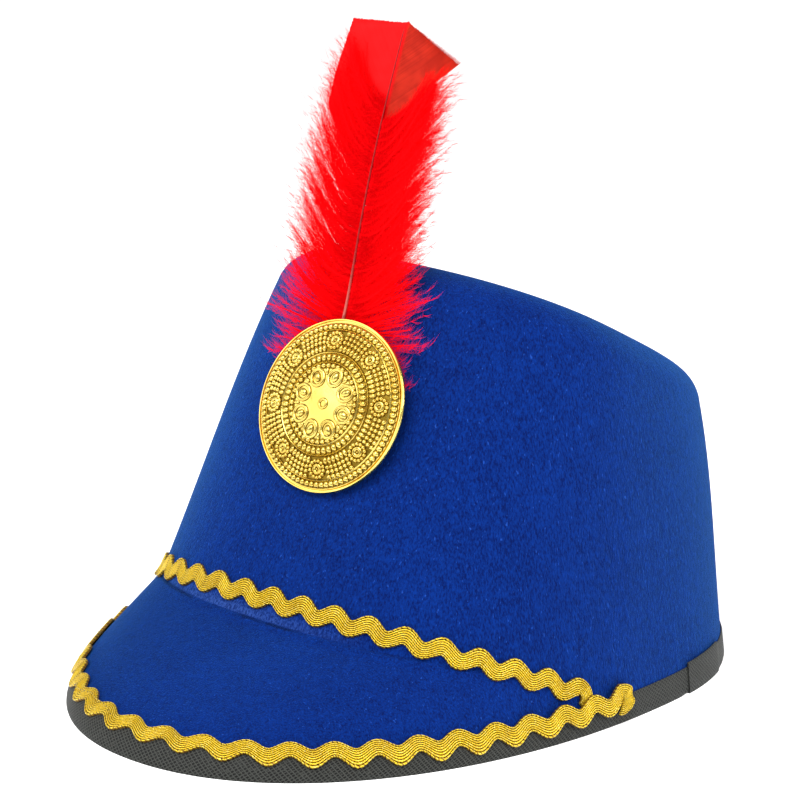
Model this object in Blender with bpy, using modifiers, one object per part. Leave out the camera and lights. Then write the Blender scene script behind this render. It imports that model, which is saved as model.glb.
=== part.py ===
"""Majorette hat: a moulded felt crown and peak with a bound edge, wavy gold braids,
a domed medallion and a feather. Metres, +Z up, the front of the hat towards -Y."""
import bpy
import bmesh
from math import acos, atan2, cos, exp, hypot, pi, radians, sin, sqrt, tan
from mathutils import Matrix, Vector

# Head opening, measured on the felt's outer face at the floor, from the widest place
HEAD_HALF_WIDTH = 0.0887
HEAD_FRONT = 0.1046
HEAD_BACK = 0.0879
HEAD_SQUARENESS = 2.5

# Top of the crown, a smaller oval that is set back and falls towards the back
TOP_HALF_WIDTH = 0.0642
TOP_FRONT = 0.0529
TOP_BACK = 0.0731
TOP_SET_BACK = 0.015
TOP_HEIGHT = 0.1131
TOP_FALL = 0.47
TOP_ROUND = 0.015
TOP_ROUND_RINGS = 4
TOP_DOME = 0.002
TOP_RINGS = (0.35, 0.7)

# The wall bulges a little at its sides, most at this share of its height
WALL_SWELL = 0.0015
WALL_SWELL_SHARE = 2 / 3

# Peak, from the widest place forward, and the crease where it springs from the crown
PEAK_REACH = 0.1502
PEAK_SQUARENESS = 2.1
PEAK_SWELL = 0.0006
PEAK_TURN_DOWN = 0.005
TURN_DOWN_LENGTH = 0.0035
CREASE_HEIGHT = 0.0278
CREASE_SIDE_HEIGHT = 0.0032
CREASE_END = radians(82.5)
CREASE_POWER = 0.5
CREASE_ROUND = 0.006
CREASE_ROUND_SHARE = 0.45

# Felt
FELT = 0.002
CLEARANCE = 0.0003
TRIM = 0.0025
EDGE_STEP = 0.0005
TURN_STEP = 0.002
ALONG_STEP = 0.0004

# Rings that follow the turned-down edge: distance up from the rim, and the most that it may be as
# a share of the way to the crease
EDGE_RINGS = ((0.0025, 0.25), (0.005, 0.5), (0.010, 0.75))
SECTIONS = 56

# Tape folded over the edge, with its ends overlapping at the wearer's left
TAPE = 0.0008
TAPE_OUTSIDE = 0.009
TAPE_INSIDE = 0.008
LAP_START = radians(97)
LAP_END = radians(112)
LAP_RISE = 0.0015
LAP_STEP = 0.004

# Wavy braid: overall width is band and twice the wave. Round the front of the peak it is drawn
# out, and narrower by this share
BRAID_BAND = 0.0052
BRAID_WAVE = 0.0018
BRAID = 0.0012
BRAID_STEPS = 6
BRAID_RAMP = 0.005
BRAID_SPARE = 0.003
BRAID_REST = 0.0005
BRAID_DROP = radians(3)
CROWN_BRAID_FRONT = 0.0348
CROWN_BRAID_SIDE = 0.002
CROWN_BRAID_POWER = 0.76
CROWN_BRAID_PITCH = 0.01195
CROWN_BRAID_CREST = 0.0003
CROWN_BRAID_END = radians(77)
PEAK_BRAID_FRONT = 0.0058
PEAK_BRAID_SIDE = 0.0078
PEAK_BRAID_NARROWING = 0.2
PEAK_BRAID_PITCH = 0.01324
PEAK_BRAID_CREST = 0.0078
PEAK_BRAID_END = radians(87)
BRAID_FOLD = 0.011

# Medallion: height up the front of the crown as a share, and its dome
MEDALLION_SHARE = 0.66
MEDALLION_RADIUS = 0.0278
MEDALLION_DOME = 0.004
MEDALLION_SHEET = 0.0015
MEDALLION_STAND_OFF = 0.003
MEDALLION_TILT = radians(4.2)
MEDALLION_SIDE = 0.001
MEDALLION_TURN = radians(9.3)
MEDALLION_SECTORS = 64
RELIEF = 0.0009
BOSSES = 8
BOSS_RING = 0.72
BOSS_SIZE = 0.10
BOSS_DIMPLE = 0.02
BEADS = 32
POST_RADIUS = 0.003

# Feather: shaft, backing and locks of down
FEATHER_LENGTH = 0.109
FEATHER_HALF_WIDTH = 0.030
FEATHER_LEAN = radians(12)
FEATHER_BEND = 0.008
FEATHER_SIDE = -0.0045
FEATHER_TIP_SIDE = 0.003
FEATHER_FOOT = 0.35
FEATHER_BOW = 0.0025
FEATHER_THICK = 0.001
FEATHER_HOLLOW = 0.0015
QUILL_BASE_RADIUS = 0.001
QUILL_TIP_RADIUS = 0.0004
QUILL_SHARE = 0.97
QUILL_POINTS = 12
LOCK_WIDTH = 0.0065
LOCK_THICK = 0.0018

# Outline of the feather: share of its length, left and right half width as shares
FEATHER_ROWS = (
    # share, left, right
    (0.00, 0.20, 0.20),
    (0.08, 0.42, 0.46),
    (0.20, 0.56, 0.62),
    (0.35, 0.60, 0.70),
    (0.50, 0.62, 0.66),
    (0.65, 0.62, 0.60),
    (0.78, 0.66, 0.62),
    (0.90, 0.70, 0.66),
    (0.97, 0.72, 0.40),
    (1.00, 0.62, 0.04),
)

# Locks of down: share of the length where a pair springs, its left and right reach as shares of
# the half width, and the rise of its tips as a share of the feather's length
LOCKS = (
    # share, left, right, rise
    (0.06, 0.85, 1.00, -0.10),
    (0.10, 0.95, 1.02, 0.02),
    (0.17, 0.97, 0.95, 0.09),
    (0.25, 1.04, 0.94, 0.13),
    (0.33, 1.06, 0.98, 0.12),
    (0.41, 1.06, 0.96, 0.13),
    (0.49, 1.02, 0.90, 0.13),
    (0.57, 0.96, 0.82, 0.14),
    (0.65, 0.90, 0.76, 0.13),
    (0.73, 0.80, 0.72, 0.12),
)

# Rings of the medallion's face, as shares of its radius
FACE_RINGS = (0.05, 0.10, 0.15, 0.22, 0.32, 0.42, 0.47, 0.53, 0.60, 0.66, 0.72, 0.78, 0.84, 0.90, 0.94)
BACK_RINGS = (0.90, 0.62, 0.30)

COLOURS = {
    # node: colour as linear red, green and blue, roughness, metallic
    "felt_body": ((0.006, 0.045, 0.300), 0.95, 0.0),
    "edge_binding": ((0.030, 0.033, 0.030), 0.70, 0.0),
    "crown_braid": ((0.700, 0.420, 0.035), 0.35, 0.8),
    "peak_braid": ((0.700, 0.420, 0.035), 0.35, 0.8),
    "medallion": ((0.750, 0.560, 0.120), 0.20, 1.0),
    "feather_vane": ((0.800, 0.006, 0.008), 0.80, 0.0),
    "feather_quill": ((0.550, 0.030, 0.020), 0.50, 0.0),
}


def clear_scene():
    for thing in list(bpy.data.objects):
        bpy.data.objects.remove(thing, do_unlink=True)


def new_collection(name):
    group = bpy.data.collections.new(name)
    bpy.context.scene.collection.children.link(group)
    return group


def material(name):
    colour, roughness, metallic = COLOURS[name]
    made = bpy.data.materials.new(name)
    made.use_nodes = True
    shader = made.node_tree.nodes["Principled BSDF"]
    shader.inputs["Base Color"].default_value = (*colour, 1)
    shader.inputs["Roughness"].default_value = roughness
    shader.inputs["Metallic"].default_value = metallic
    return made


def add_object(name, data, group, parent=None):
    thing = bpy.data.objects.new(name, data)
    group.objects.link(thing)
    thing.parent = parent
    if name in COLOURS:
        thing.data.materials.append(material(name))
    return thing


def mesh_of(name, bm):
    mesh = bpy.data.meshes.new(name)
    bm.to_mesh(mesh)
    bm.free()
    return mesh


def power(value, exponent):
    size = abs(value) ** exponent
    return size if value >= 0 else -size


def oval(turn, half_width, front, back, squareness):
    """A squared oval; turn 0 is the front (-Y) and a quarter turn is the wearer's left (+X)."""
    reach = front if cos(turn) > 0 else back
    sideways = half_width * power(sin(turn), 2 / squareness)
    return Vector((sideways, -reach * power(cos(turn), 2 / squareness), 0))


def foot(turn):
    """Where the crown's wall would meet the floor."""
    return oval(turn, HEAD_HALF_WIDTH, HEAD_FRONT, HEAD_BACK, HEAD_SQUARENESS)


def corner(turn):
    """Where the crown's wall would meet its top with no rounding."""
    at = oval(turn, TOP_HALF_WIDTH, TOP_FRONT, TOP_BACK, HEAD_SQUARENESS)
    at.z = TOP_HEIGHT - TOP_FALL * at.y
    at.y += TOP_SET_BACK
    return at


def top_centre():
    middle = (TOP_BACK - TOP_FRONT) / 2
    return Vector((0, middle + TOP_SET_BACK, TOP_HEIGHT - TOP_FALL * middle + TOP_DOME))


def wall(turn, height):
    low, high = foot(turn), corner(turn)
    return low + (high - low) * (height / high.z)


def swept_height(turn, front, side, end, exponent):
    """A height that is greatest at the front and runs down to the side."""
    from_front = abs(atan2(sin(turn), cos(turn)))
    share = min(from_front / end, 1)
    return side + (front - side) * max(cos(share * pi / 2), 0) ** exponent


def crease(turn):
    return wall(turn, swept_height(turn, CREASE_HEIGHT, CREASE_SIDE_HEIGHT, CREASE_END, CREASE_POWER))


def rim(turn):
    if cos(turn) <= 0:
        return foot(turn)
    return oval(turn, HEAD_HALF_WIDTH, PEAK_REACH, HEAD_BACK, PEAK_SQUARENESS)


def peak_length(turn):
    return (crease(turn) - rim(turn)).length


def peak_point(turn, share):
    """On the peak, from the rim (share 0) to the crease (share 1): it swells, and turns down
    near the rim."""
    low, high = rim(turn), crease(turn)
    full = (rim(turn) - foot(turn)).length / (PEAK_REACH - HEAD_FRONT)
    turned = 1 - exp(-share * (high - low).length / TURN_DOWN_LENGTH)
    swell = 4 * share * PEAK_SWELL + turned * PEAK_TURN_DOWN
    return low + (high - low) * share + Vector((0, 0, swell * (1 - share) * min(full, 1)))


def felt_face(turn, along):
    """On the felt's outer face, so far up the section from the rim, with a rounded crease."""
    length = peak_length(turn)
    bend = crease(turn)
    rise = (corner(turn) - foot(turn)).normalized()
    soft = min(CREASE_ROUND, CREASE_ROUND_SHARE * length)
    if along <= length - soft:
        return peak_point(turn, along / length)
    if along >= length + soft:
        return bend + rise * (along - length)
    k = (along - length + soft) / (2 * soft)
    below = peak_point(turn, 1 - soft / length)
    return below * (1 - k) ** 2 + bend * (2 * k * (1 - k)) + (bend + rise * soft) * k ** 2


def face_slopes(turn, along):
    """How the felt's face moves for each radian of turn, and for each metre up the section."""
    by_turn = felt_face(turn + TURN_STEP, along) - felt_face(turn - TURN_STEP, along)
    by_along = felt_face(turn, along + ALONG_STEP) - felt_face(turn, along - ALONG_STEP)
    return by_turn / (2 * TURN_STEP), by_along / (2 * ALONG_STEP)


def off_felt(turn, along, lift):
    by_turn, by_along = face_slopes(turn, along)
    return felt_face(turn, along) + by_turn.cross(by_along).normalized() * lift


def even_turns(curve, start, end, count):
    """Turns from start to end that are evenly spaced along a curve."""
    fine = [start + (end - start) * i / 720 for i in range(721)]
    lengths = [0.0]
    for a, b in zip(fine, fine[1:]):
        lengths.append(lengths[-1] + (curve(b) - curve(a)).length)
    turns, j = [], 0
    for i in range(count + 1):
        want = lengths[-1] * i / count
        while j < 719 and lengths[j + 1] < want:
            j += 1
        share = (want - lengths[j]) / (lengths[j + 1] - lengths[j])
        turns.append(fine[j] + (fine[j + 1] - fine[j]) * share)
    return turns


def halfway(turn):
    """Between the rim and the crown's wall, to space the sections for both."""
    return (rim(turn) + foot(turn)) / 2


def edge_turns():
    """The sections of the felt and its tape, with close pairs where the tape's lap starts and ends."""
    half_round = even_turns(halfway, 0, pi, SECTIONS // 2)
    turns = half_round[:-1] + [2 * pi - t for t in half_round[:0:-1]]
    apart = pi / SECTIONS * 0.9
    turns = [t for t in turns if min(abs(t - LAP_START), abs(t - LAP_END)) > apart]
    for mark in (LAP_START, LAP_END):
        turns += [mark - LAP_STEP, mark + LAP_STEP]
    return sorted(turns)


def top_round(turn):
    """The rounded corner between the wall and the top, from the wall to the top."""
    at = corner(turn)
    down = (foot(turn) - at).normalized()
    inward = (top_centre() - at).normalized()
    angle = acos(down.dot(inward))
    start = at + down * (TOP_ROUND / tan(angle / 2))
    end = at + inward * (TOP_ROUND / tan(angle / 2))
    centre = at + (down + inward).normalized() * (TOP_ROUND / sin(angle / 2))
    sweep = pi - angle
    points = []
    for i in range(TOP_ROUND_RINGS):
        share = i / (TOP_ROUND_RINGS - 1)
        a = sin((1 - share) * sweep) / sin(sweep)
        b = sin(share * sweep) / sin(sweep)
        points.append(centre + (start - centre) * a + (end - centre) * b)
    return points


def felt_section(turn):
    """One section of the shell's outer face, from below the rim to near the middle of the top."""
    length = peak_length(turn)
    soft = min(CREASE_ROUND, CREASE_ROUND_SHARE * length)
    edge, above = felt_face(turn, 0), felt_face(turn, EDGE_STEP)
    points = [edge + (edge - above) * (TRIM / EDGE_STEP), edge]
    near = [min(along, (length - soft) * share) for along, share in EDGE_RINGS]
    alongs = near + [(near[-1] + length - soft) / 2, length - soft, length, length + soft]
    points += [felt_face(turn, along) for along in alongs]
    rounded = top_round(turn)
    up_wall = rounded[0] - points[-1]
    outwards = face_slopes(turn, length + soft)[0].cross(up_wall).normalized()
    points.append(points[-1] + up_wall * WALL_SWELL_SHARE + outwards * WALL_SWELL * sin(turn) ** 2)
    points += rounded
    middle = top_centre()
    for k in TOP_RINGS:
        flat = rounded[-1] + (middle - rounded[-1]) * k
        points.append(flat + Vector((0, 0, TOP_DOME * 0.5 * sin(pi * k))))
    return points


def bridge(bm, rings):
    """Quads between rings of vertices that run anticlockwise seen from outside."""
    for low, high in zip(rings, rings[1:]):
        count = len(low)
        for i in range(count):
            j = (i + 1) % count
            bm.faces.new((low[i], low[j], high[j], high[i]))


def add_cutter(name, size, centre, group, parent):
    bm = bmesh.new()
    bmesh.ops.create_cube(bm, size=1, matrix=Matrix.Translation(centre) @ Matrix.Diagonal((*size, 1)))
    cutter = add_object(name, mesh_of(name, bm), group, parent)
    cutter.hide_render = True
    cutter.display_type = "WIRE"
    return cutter


def cut(thing, cutter, operation="DIFFERENCE"):
    boolean = thing.modifiers.new(cutter.name, "BOOLEAN")
    boolean.operation = operation
    boolean.solver = "EXACT"
    boolean.object = cutter
    return boolean


def make_felt_body(parts, cutters, stand):
    """Crown and peak in one moulded shell, open below, trimmed level at the rim."""
    bm = bmesh.new()
    columns = [felt_section(t) for t in edge_turns()]
    rings = [[bm.verts.new(column[j]) for column in columns] for j in range(len(columns[0]))]
    bridge(bm, rings)
    middle = bm.verts.new(top_centre())
    for i, vert in enumerate(rings[-1]):
        bm.faces.new((vert, rings[-1][(i + 1) % len(rings[-1])], middle))
    body = add_object("felt_body", mesh_of("felt_body", bm), parts, stand)
    shell = body.modifiers.new("wall", "SOLIDIFY")
    shell.thickness = FELT
    shell.offset = -1
    shell.use_even_offset = True
    depth = 0.02
    size = (3 * HEAD_HALF_WIDTH, 3 * PEAK_REACH, depth)
    cut(body, add_cutter("rim_trim", size, (0, 0, -depth / 2), cutters, stand))
    body.data.shade_smooth()
    return body


def tape_section(turn):
    """The tape's folded section: outer leg, flat underside and inner leg, as a closed loop."""
    lap = LAP_START < turn < LAP_END
    outside = CLEARANCE + (2 * TAPE if lap else TAPE)
    height = TAPE_OUTSIDE + (LAP_RISE if lap else 0)
    near, far = CLEARANCE, -FELT - CLEARANCE
    rise = felt_face(turn, EDGE_STEP) - felt_face(turn, 0)

    def level(lift, z):
        start = off_felt(turn, 0, lift)
        return start + rise * ((z - start.z) / rise.z)

    rings = [along for along, _ in EDGE_RINGS if along < TAPE_INSIDE]
    outer = [height] + rings[::-1]
    inner = rings + [TAPE_INSIDE]
    return (
        [off_felt(turn, along, outside) for along in outer]
        + [level(outside, -CLEARANCE - TAPE), level(far - TAPE, -CLEARANCE - TAPE)]
        + [off_felt(turn, along, far - TAPE) for along in inner]
        + [off_felt(turn, along, far) for along in inner[::-1]]
        + [level(far, -CLEARANCE), level(near, -CLEARANCE)]
        + [off_felt(turn, along, near) for along in outer[::-1]]
    )


def make_edge_binding(parts, stand):
    bm = bmesh.new()
    loops = [[bm.verts.new(p) for p in tape_section(t)] for t in edge_turns()]
    count = len(loops[0])
    for here, there in zip(loops, loops[1:] + loops[:1]):
        for i in range(count):
            j = (i + 1) % count
            bm.faces.new((here[i], here[j], there[j], there[i]))
    bmesh.ops.recalc_face_normals(bm, faces=bm.faces)
    return add_object("edge_binding", mesh_of("edge_binding", bm), parts, stand)


def crown_braid_along(turn):
    """Centre line of the crown's braid, as a distance up the section from the rim."""
    height = swept_height(turn, CROWN_BRAID_FRONT, CROWN_BRAID_SIDE, CREASE_END, CROWN_BRAID_POWER)
    return peak_length(turn) + height - crease(turn).z


def peak_braid_along(turn):
    return PEAK_BRAID_SIDE - (PEAK_BRAID_SIDE - PEAK_BRAID_FRONT) * max(cos(turn), 0) ** 2


def smooth_step(value):
    k = min(max(value, 0), 1)
    return k * k * (3 - 2 * k)


def braid_half_width():
    return BRAID_WAVE + BRAID_BAND / 2


def crown_braid_lift(turn):
    """Off the felt, and up over the tape where the braid runs down to it."""
    edge = crown_braid_along(turn) - braid_half_width()
    over = smooth_step((TAPE_OUTSIDE + BRAID_RAMP - edge) / (0.8 * BRAID_RAMP))
    return BRAID_REST + over * (TAPE + CLEARANCE)


def peak_braid_lift(turn):
    """Over the tape, and over the crown's braid where the two run together."""
    space = crown_braid_along(turn) - peak_braid_along(turn) - 2 * braid_half_width() - BRAID_SPARE
    over = smooth_step(1 - space / BRAID_RAMP)
    past_end = smooth_step((abs(turn) - CROWN_BRAID_END) / BRAID_DROP - 1)
    return CLEARANCE + TAPE + BRAID_REST + over * (1 - past_end) * (BRAID + BRAID_REST)


def across(along, turn):
    """Turn and climb for each metre square across a line on the felt."""
    by_turn, by_along = face_slopes(turn, along(turn))
    climb = (along(turn + TURN_STEP) - along(turn - TURN_STEP)) / (2 * TURN_STEP)
    side = by_turn.cross(by_along).cross(by_turn + by_along * climb).normalized()
    tt, ta, aa = by_turn.dot(by_turn), by_turn.dot(by_along), by_along.dot(by_along)
    st, sa = side.dot(by_turn), side.dot(by_along)
    return (st * aa - sa * ta) / (tt * aa - ta * ta), (sa * tt - st * ta) / (tt * aa - ta * ta)


def make_braid(name, along, lift, end, pitch, crest, narrowing, folded, parts, stand):
    """A flat band that waves from side to side along its line on the felt, thicker where its
    ends are folded back over so much of its length."""
    def line(turn):
        return off_felt(turn, along(turn), lift(turn))

    fine = even_turns(line, -end, end, 400)
    total = sum((line(b) - line(a)).length for a, b in zip(fine, fine[1:]))
    turns = even_turns(line, -end, end, round(total / pitch * BRAID_STEPS))
    bm = bmesh.new()
    loops = []
    for i, turn in enumerate(turns):
        travel = total * i / (len(turns) - 1)
        thick = 2 * BRAID if min(travel, total - travel) < folded else BRAID
        wave = BRAID_WAVE * cos(2 * pi * (travel - total / 2 - crest) / pitch)
        share = 1 - narrowing * cos(turn) ** 2
        low, high = share * (wave - BRAID_BAND / 2), share * (wave + BRAID_BAND / 2)
        by_turn, by_along = across(along, turn)
        base = lift(turn)
        loops.append([
            bm.verts.new(off_felt(turn + by_turn * w, along(turn) + by_along * w, base + up))
            for w, up in ((low, 0), (high, 0), (high, thick), (low, thick))])
    for here, there in zip(loops, loops[1:]):
        for i in range(4):
            j = (i + 1) % 4
            bm.faces.new((here[i], here[j], there[j], there[i]))
    bm.faces.new(loops[0])
    bm.faces.new(loops[-1][::-1])
    bmesh.ops.recalc_face_normals(bm, faces=bm.faces)
    return add_object(name, mesh_of(name, bm), parts, stand)


def medallion_frame():
    """The medallion's own frame: its back plane's centre, right, up and outward."""
    height = MEDALLION_SHARE * corner(0).z
    at = wall(0, height)
    rise = (corner(0) - foot(0)).normalized()
    out = Vector((1, 0, 0)).cross(rise)
    up = rise * cos(MEDALLION_TILT) + out * sin(MEDALLION_TILT)
    centre = at + out * MEDALLION_STAND_OFF + Vector((MEDALLION_SIDE, 0, 0))
    return centre, Vector((1, 0, 0)), up, Vector((1, 0, 0)).cross(up)


def dome(share):
    """Height of the medallion's plain dome, above its flat rim."""
    return MEDALLION_DOME * max(1 - (share / 0.94) ** 2, 0)


def relief(share, turn):
    """Raised ornament: middle boss, petals, bead rings and a ring of dimpled bosses."""
    beads = 0.5 + 0.5 * cos(BEADS * turn)
    if share < 0.16:
        return RELIEF * (0.3 if share == 0 else 1.6 if share < 0.12 else 0.2)
    if share < 0.44:
        petal = max(sin(BOSSES * turn / 2) ** 2 - 0.25, 0) / 0.75
        return RELIEF * (1.3 * petal if share > 0.2 else 0.6)
    if share < 0.5 or 0.88 < share < 0.92:
        return RELIEF * beads
    if share < 0.63:
        return RELIEF * 0.7 * (1 - beads)
    spacing = 2 * pi / BOSSES
    from_boss = (turn / spacing - round(turn / spacing)) * spacing
    apart = hypot(share - BOSS_RING, BOSS_RING * from_boss)
    if apart < BOSS_SIZE:
        return RELIEF * (0.7 if apart < BOSS_DIMPLE else 1.8)
    return RELIEF * 0.5 * (1 - beads)


def make_medallion(parts, cutters, stand):
    """A domed sheet with raised ornament, a stepped rim, a hollow back and one plain post."""
    centre, right, up, out = medallion_frame()
    turns = [2 * pi * i / MEDALLION_SECTORS for i in range(MEDALLION_SECTORS)]

    def place(share, turn, height):
        flat, at = MEDALLION_RADIUS * share, turn + MEDALLION_TURN
        return centre + (right * cos(at) + up * sin(at)) * flat + out * height

    rim_height = MEDALLION_SHEET
    bm = bmesh.new()

    def ring(share, height):
        return [bm.verts.new(place(share, t, height(t))) for t in turns]

    back = [ring(s, lambda t, s=s: dome(s)) for s in BACK_RINGS[::-1]]
    edge = [ring(1.0, lambda t: 0), ring(1.0, lambda t: rim_height), ring(0.96, lambda t: rim_height)]
    face = [ring(s, lambda t, s=s: rim_height + dome(s) + relief(s, t)) for s in FACE_RINGS[::-1]]
    rings = back + edge + face
    bridge(bm, rings)
    back_middle = bm.verts.new(place(0, 0, dome(0)))
    face_middle = bm.verts.new(place(0, 0, rim_height + dome(0) + relief(0, 0)))
    for i in range(MEDALLION_SECTORS):
        j = (i + 1) % MEDALLION_SECTORS
        bm.faces.new((rings[0][j], rings[0][i], back_middle))
        bm.faces.new((rings[-1][i], rings[-1][j], face_middle))
    bmesh.ops.recalc_face_normals(bm, faces=bm.faces)
    disc = add_object("medallion", mesh_of("medallion", bm), parts, stand)
    cut(disc, make_post(centre, right, up, out, cutters, stand), "UNION")
    return disc


def make_post(centre, right, up, out, cutters, stand):
    """The hidden post from the dome's inside to the felt."""
    low = -(MEDALLION_STAND_OFF / cos(MEDALLION_TILT) - POST_RADIUS * tan(MEDALLION_TILT) - CLEARANCE)
    high = MEDALLION_DOME + MEDALLION_SHEET / 2
    turned = Matrix((right, up, out)).transposed().to_4x4()
    bm = bmesh.new()
    bmesh.ops.create_cone(
        bm, cap_ends=True, segments=12, radius1=POST_RADIUS, radius2=POST_RADIUS, depth=high - low,
        matrix=Matrix.Translation(centre + out * (low + high) / 2) @ turned)
    post = add_object("medallion_post", mesh_of("medallion_post", bm), cutters, stand)
    post.hide_render = True
    post.display_type = "WIRE"
    return post


def feather_base():
    """Where the feather starts, behind the medallion's upper half, above its post."""
    centre, _, up, _ = medallion_frame()
    return centre.z + up.z * (POST_RADIUS + FEATHER_FOOT * MEDALLION_RADIUS)


def shaft(share):
    """The shaft's axis: held close to the crown by the medallion, then nearly upright."""
    centre, _, up, _ = medallion_frame()
    rise = corner(0) - foot(0)
    steep, easy = rise.y / rise.z, tan(FEATHER_LEAN)
    z = feather_base() + FEATHER_LENGTH * cos(FEATHER_LEAN) * share
    turn_z = centre.z + up.z * MEDALLION_RADIUS
    off = (2 * CLEARANCE + FEATHER_THICK + QUILL_BASE_RADIUS) / cos(atan2(rise.y, rise.z))
    at = wall(0, turn_z)
    apart = z - turn_z
    bend = (steep - easy) / 2 * sqrt(apart ** 2 + FEATHER_BEND ** 2)
    y = at.y - off + (steep + easy) / 2 * apart - bend
    x = FEATHER_SIDE - FEATHER_BOW * sin(pi * share) + FEATHER_TIP_SIDE * share
    return Vector((x, y, z))


def shaft_frame(share):
    """The shaft's point with the directions to the wearer's left and to the back."""
    at = shaft(share)
    along = (shaft(share + 0.01) - shaft(share - 0.01)).normalized()
    side = Vector((1, 0, 0))
    side = (side - along * side.dot(along)).normalized()
    return at, side, along.cross(side).normalized()


def make_quill(parts, stand):
    curve = bpy.data.curves.new("feather_quill", "CURVE")
    curve.dimensions = "3D"
    curve.bevel_depth = QUILL_BASE_RADIUS
    curve.bevel_resolution = 1
    curve.use_fill_caps = True
    spline = curve.splines.new("POLY")
    spline.points.add(QUILL_POINTS - 1)
    for i in range(QUILL_POINTS):
        share = i / (QUILL_POINTS - 1) * QUILL_SHARE
        spline.points[i].co = (*shaft(share), 1)
        spline.points[i].radius = 1 + (QUILL_TIP_RADIUS / QUILL_BASE_RADIUS - 1) * share
    return add_object("feather_quill", curve, parts, stand)


def vane_depth(offset):
    """Distance behind the shaft's axis of the backing's front face, curving back to its edges."""
    return QUILL_BASE_RADIUS + CLEARANCE + FEATHER_HOLLOW * (offset / FEATHER_HALF_WIDTH) ** 2


def vane_point(share, offset, depth=0.0):
    at, side, back = shaft_frame(share)
    return at + side * offset + back * (vane_depth(offset) + depth)


def make_backing():
    """The thin blade of the feather, squared at its tip."""
    bm = bmesh.new()
    loops = []
    for share, left, right in FEATHER_ROWS:
        offsets = (-left, -left / 2, 0, right / 2, right)
        front = [vane_point(share, FEATHER_HALF_WIDTH * o) for o in offsets]
        rear = [vane_point(share, FEATHER_HALF_WIDTH * o, FEATHER_THICK) for o in offsets]
        loops.append([bm.verts.new(p) for p in front + rear[::-1]])
    for here, there in zip(loops, loops[1:]):
        for i in range(10):
            j = (i + 1) % 10
            bm.faces.new((here[i], here[j], there[j], there[i]))
    for loop in (loops[0][::-1], loops[-1]):
        for i in range(4):
            bm.faces.new((loop[i], loop[i + 1], loop[8 - i], loop[9 - i]))
    bmesh.ops.recalc_face_normals(bm, faces=bm.faces)
    return mesh_of("feather_vane", bm)


def make_locks(cutters, stand):
    """Tapered locks of down along both edges, each a closed form that reaches into the backing."""
    bm = bmesh.new()
    for number, (share, left, right, rise) in enumerate(LOCKS):
        add_lock(bm, -1, share, left, rise, number)
        add_lock(bm, 1, share, right, rise, number)
    bmesh.ops.recalc_face_normals(bm, faces=bm.faces)
    locks = add_object("feather_locks", mesh_of("feather_locks", bm), cutters, stand)
    locks.hide_render = True
    locks.display_type = "WIRE"
    return locks


def add_lock(bm, sign, share, reach, rise, number):
    """One lock: a flat four-sided blade from the backing out to a blunt tip."""
    curl = 0.0012 if number % 2 else -0.0004
    shift = 0.02 if sign > 0 else 0
    rows = []
    for k in (0, 0.55, 1):
        offset = sign * FEATHER_HALF_WIDTH * (0.25 + (reach - 0.25) * k)
        place = share + shift + rise * k ** 1.3
        width = LOCK_WIDTH * (1 - 0.8 * k ** 2) / FEATHER_LENGTH
        thick = LOCK_THICK * (1 - 0.6 * k)
        depth = FEATHER_THICK / 2 + curl * k
        rows.append([bm.verts.new(p) for p in (
            vane_point(place - width, offset, depth),
            vane_point(place, offset, depth + thick / 2),
            vane_point(place + width, offset, depth),
            vane_point(place, offset, depth - thick / 2))])
    for here, there in zip(rows, rows[1:]):
        for i in range(4):
            j = (i + 1) % 4
            bm.faces.new((here[i], here[j], there[j], there[i]))
    bm.faces.new(rows[0])
    bm.faces.new(rows[-1][::-1])


def make_vane(parts, cutters, stand):
    vane = add_object("feather_vane", make_backing(), parts, stand)
    joined = cut(vane, make_locks(cutters, stand), "UNION")
    joined.use_self = True
    return vane


def make_stand(parts):
    """The hat stands on its tape, with its box's bottom centre at the origin."""
    edge = [p.y for t in edge_turns() for p in tape_section(t)]
    stand = bpy.data.objects.new("hat", None)
    parts.objects.link(stand)
    stand.location = (0, -(min(edge) + max(edge)) / 2, CLEARANCE + TAPE)
    return stand


def main():
    clear_scene()
    parts = new_collection("majorette_hat")
    cutters = new_collection("cutters")
    stand = make_stand(parts)
    make_felt_body(parts, cutters, stand)
    make_edge_binding(parts, stand)
    make_braid("crown_braid", crown_braid_along, crown_braid_lift, CROWN_BRAID_END,
               CROWN_BRAID_PITCH, CROWN_BRAID_CREST, 0, 0, parts, stand)
    make_braid("peak_braid", peak_braid_along, peak_braid_lift, PEAK_BRAID_END,
               PEAK_BRAID_PITCH, PEAK_BRAID_CREST, PEAK_BRAID_NARROWING, BRAID_FOLD, parts, stand)
    make_medallion(parts, cutters, stand)
    make_quill(parts, stand)
    make_vane(parts, cutters, stand)


main()
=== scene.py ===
from bisect import bisect_right
from math import acos, atan2, cos, exp, hypot, pi, radians, sin, sqrt, tan
from random import Random

import bpy
from mathutils import Matrix, Vector


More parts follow.
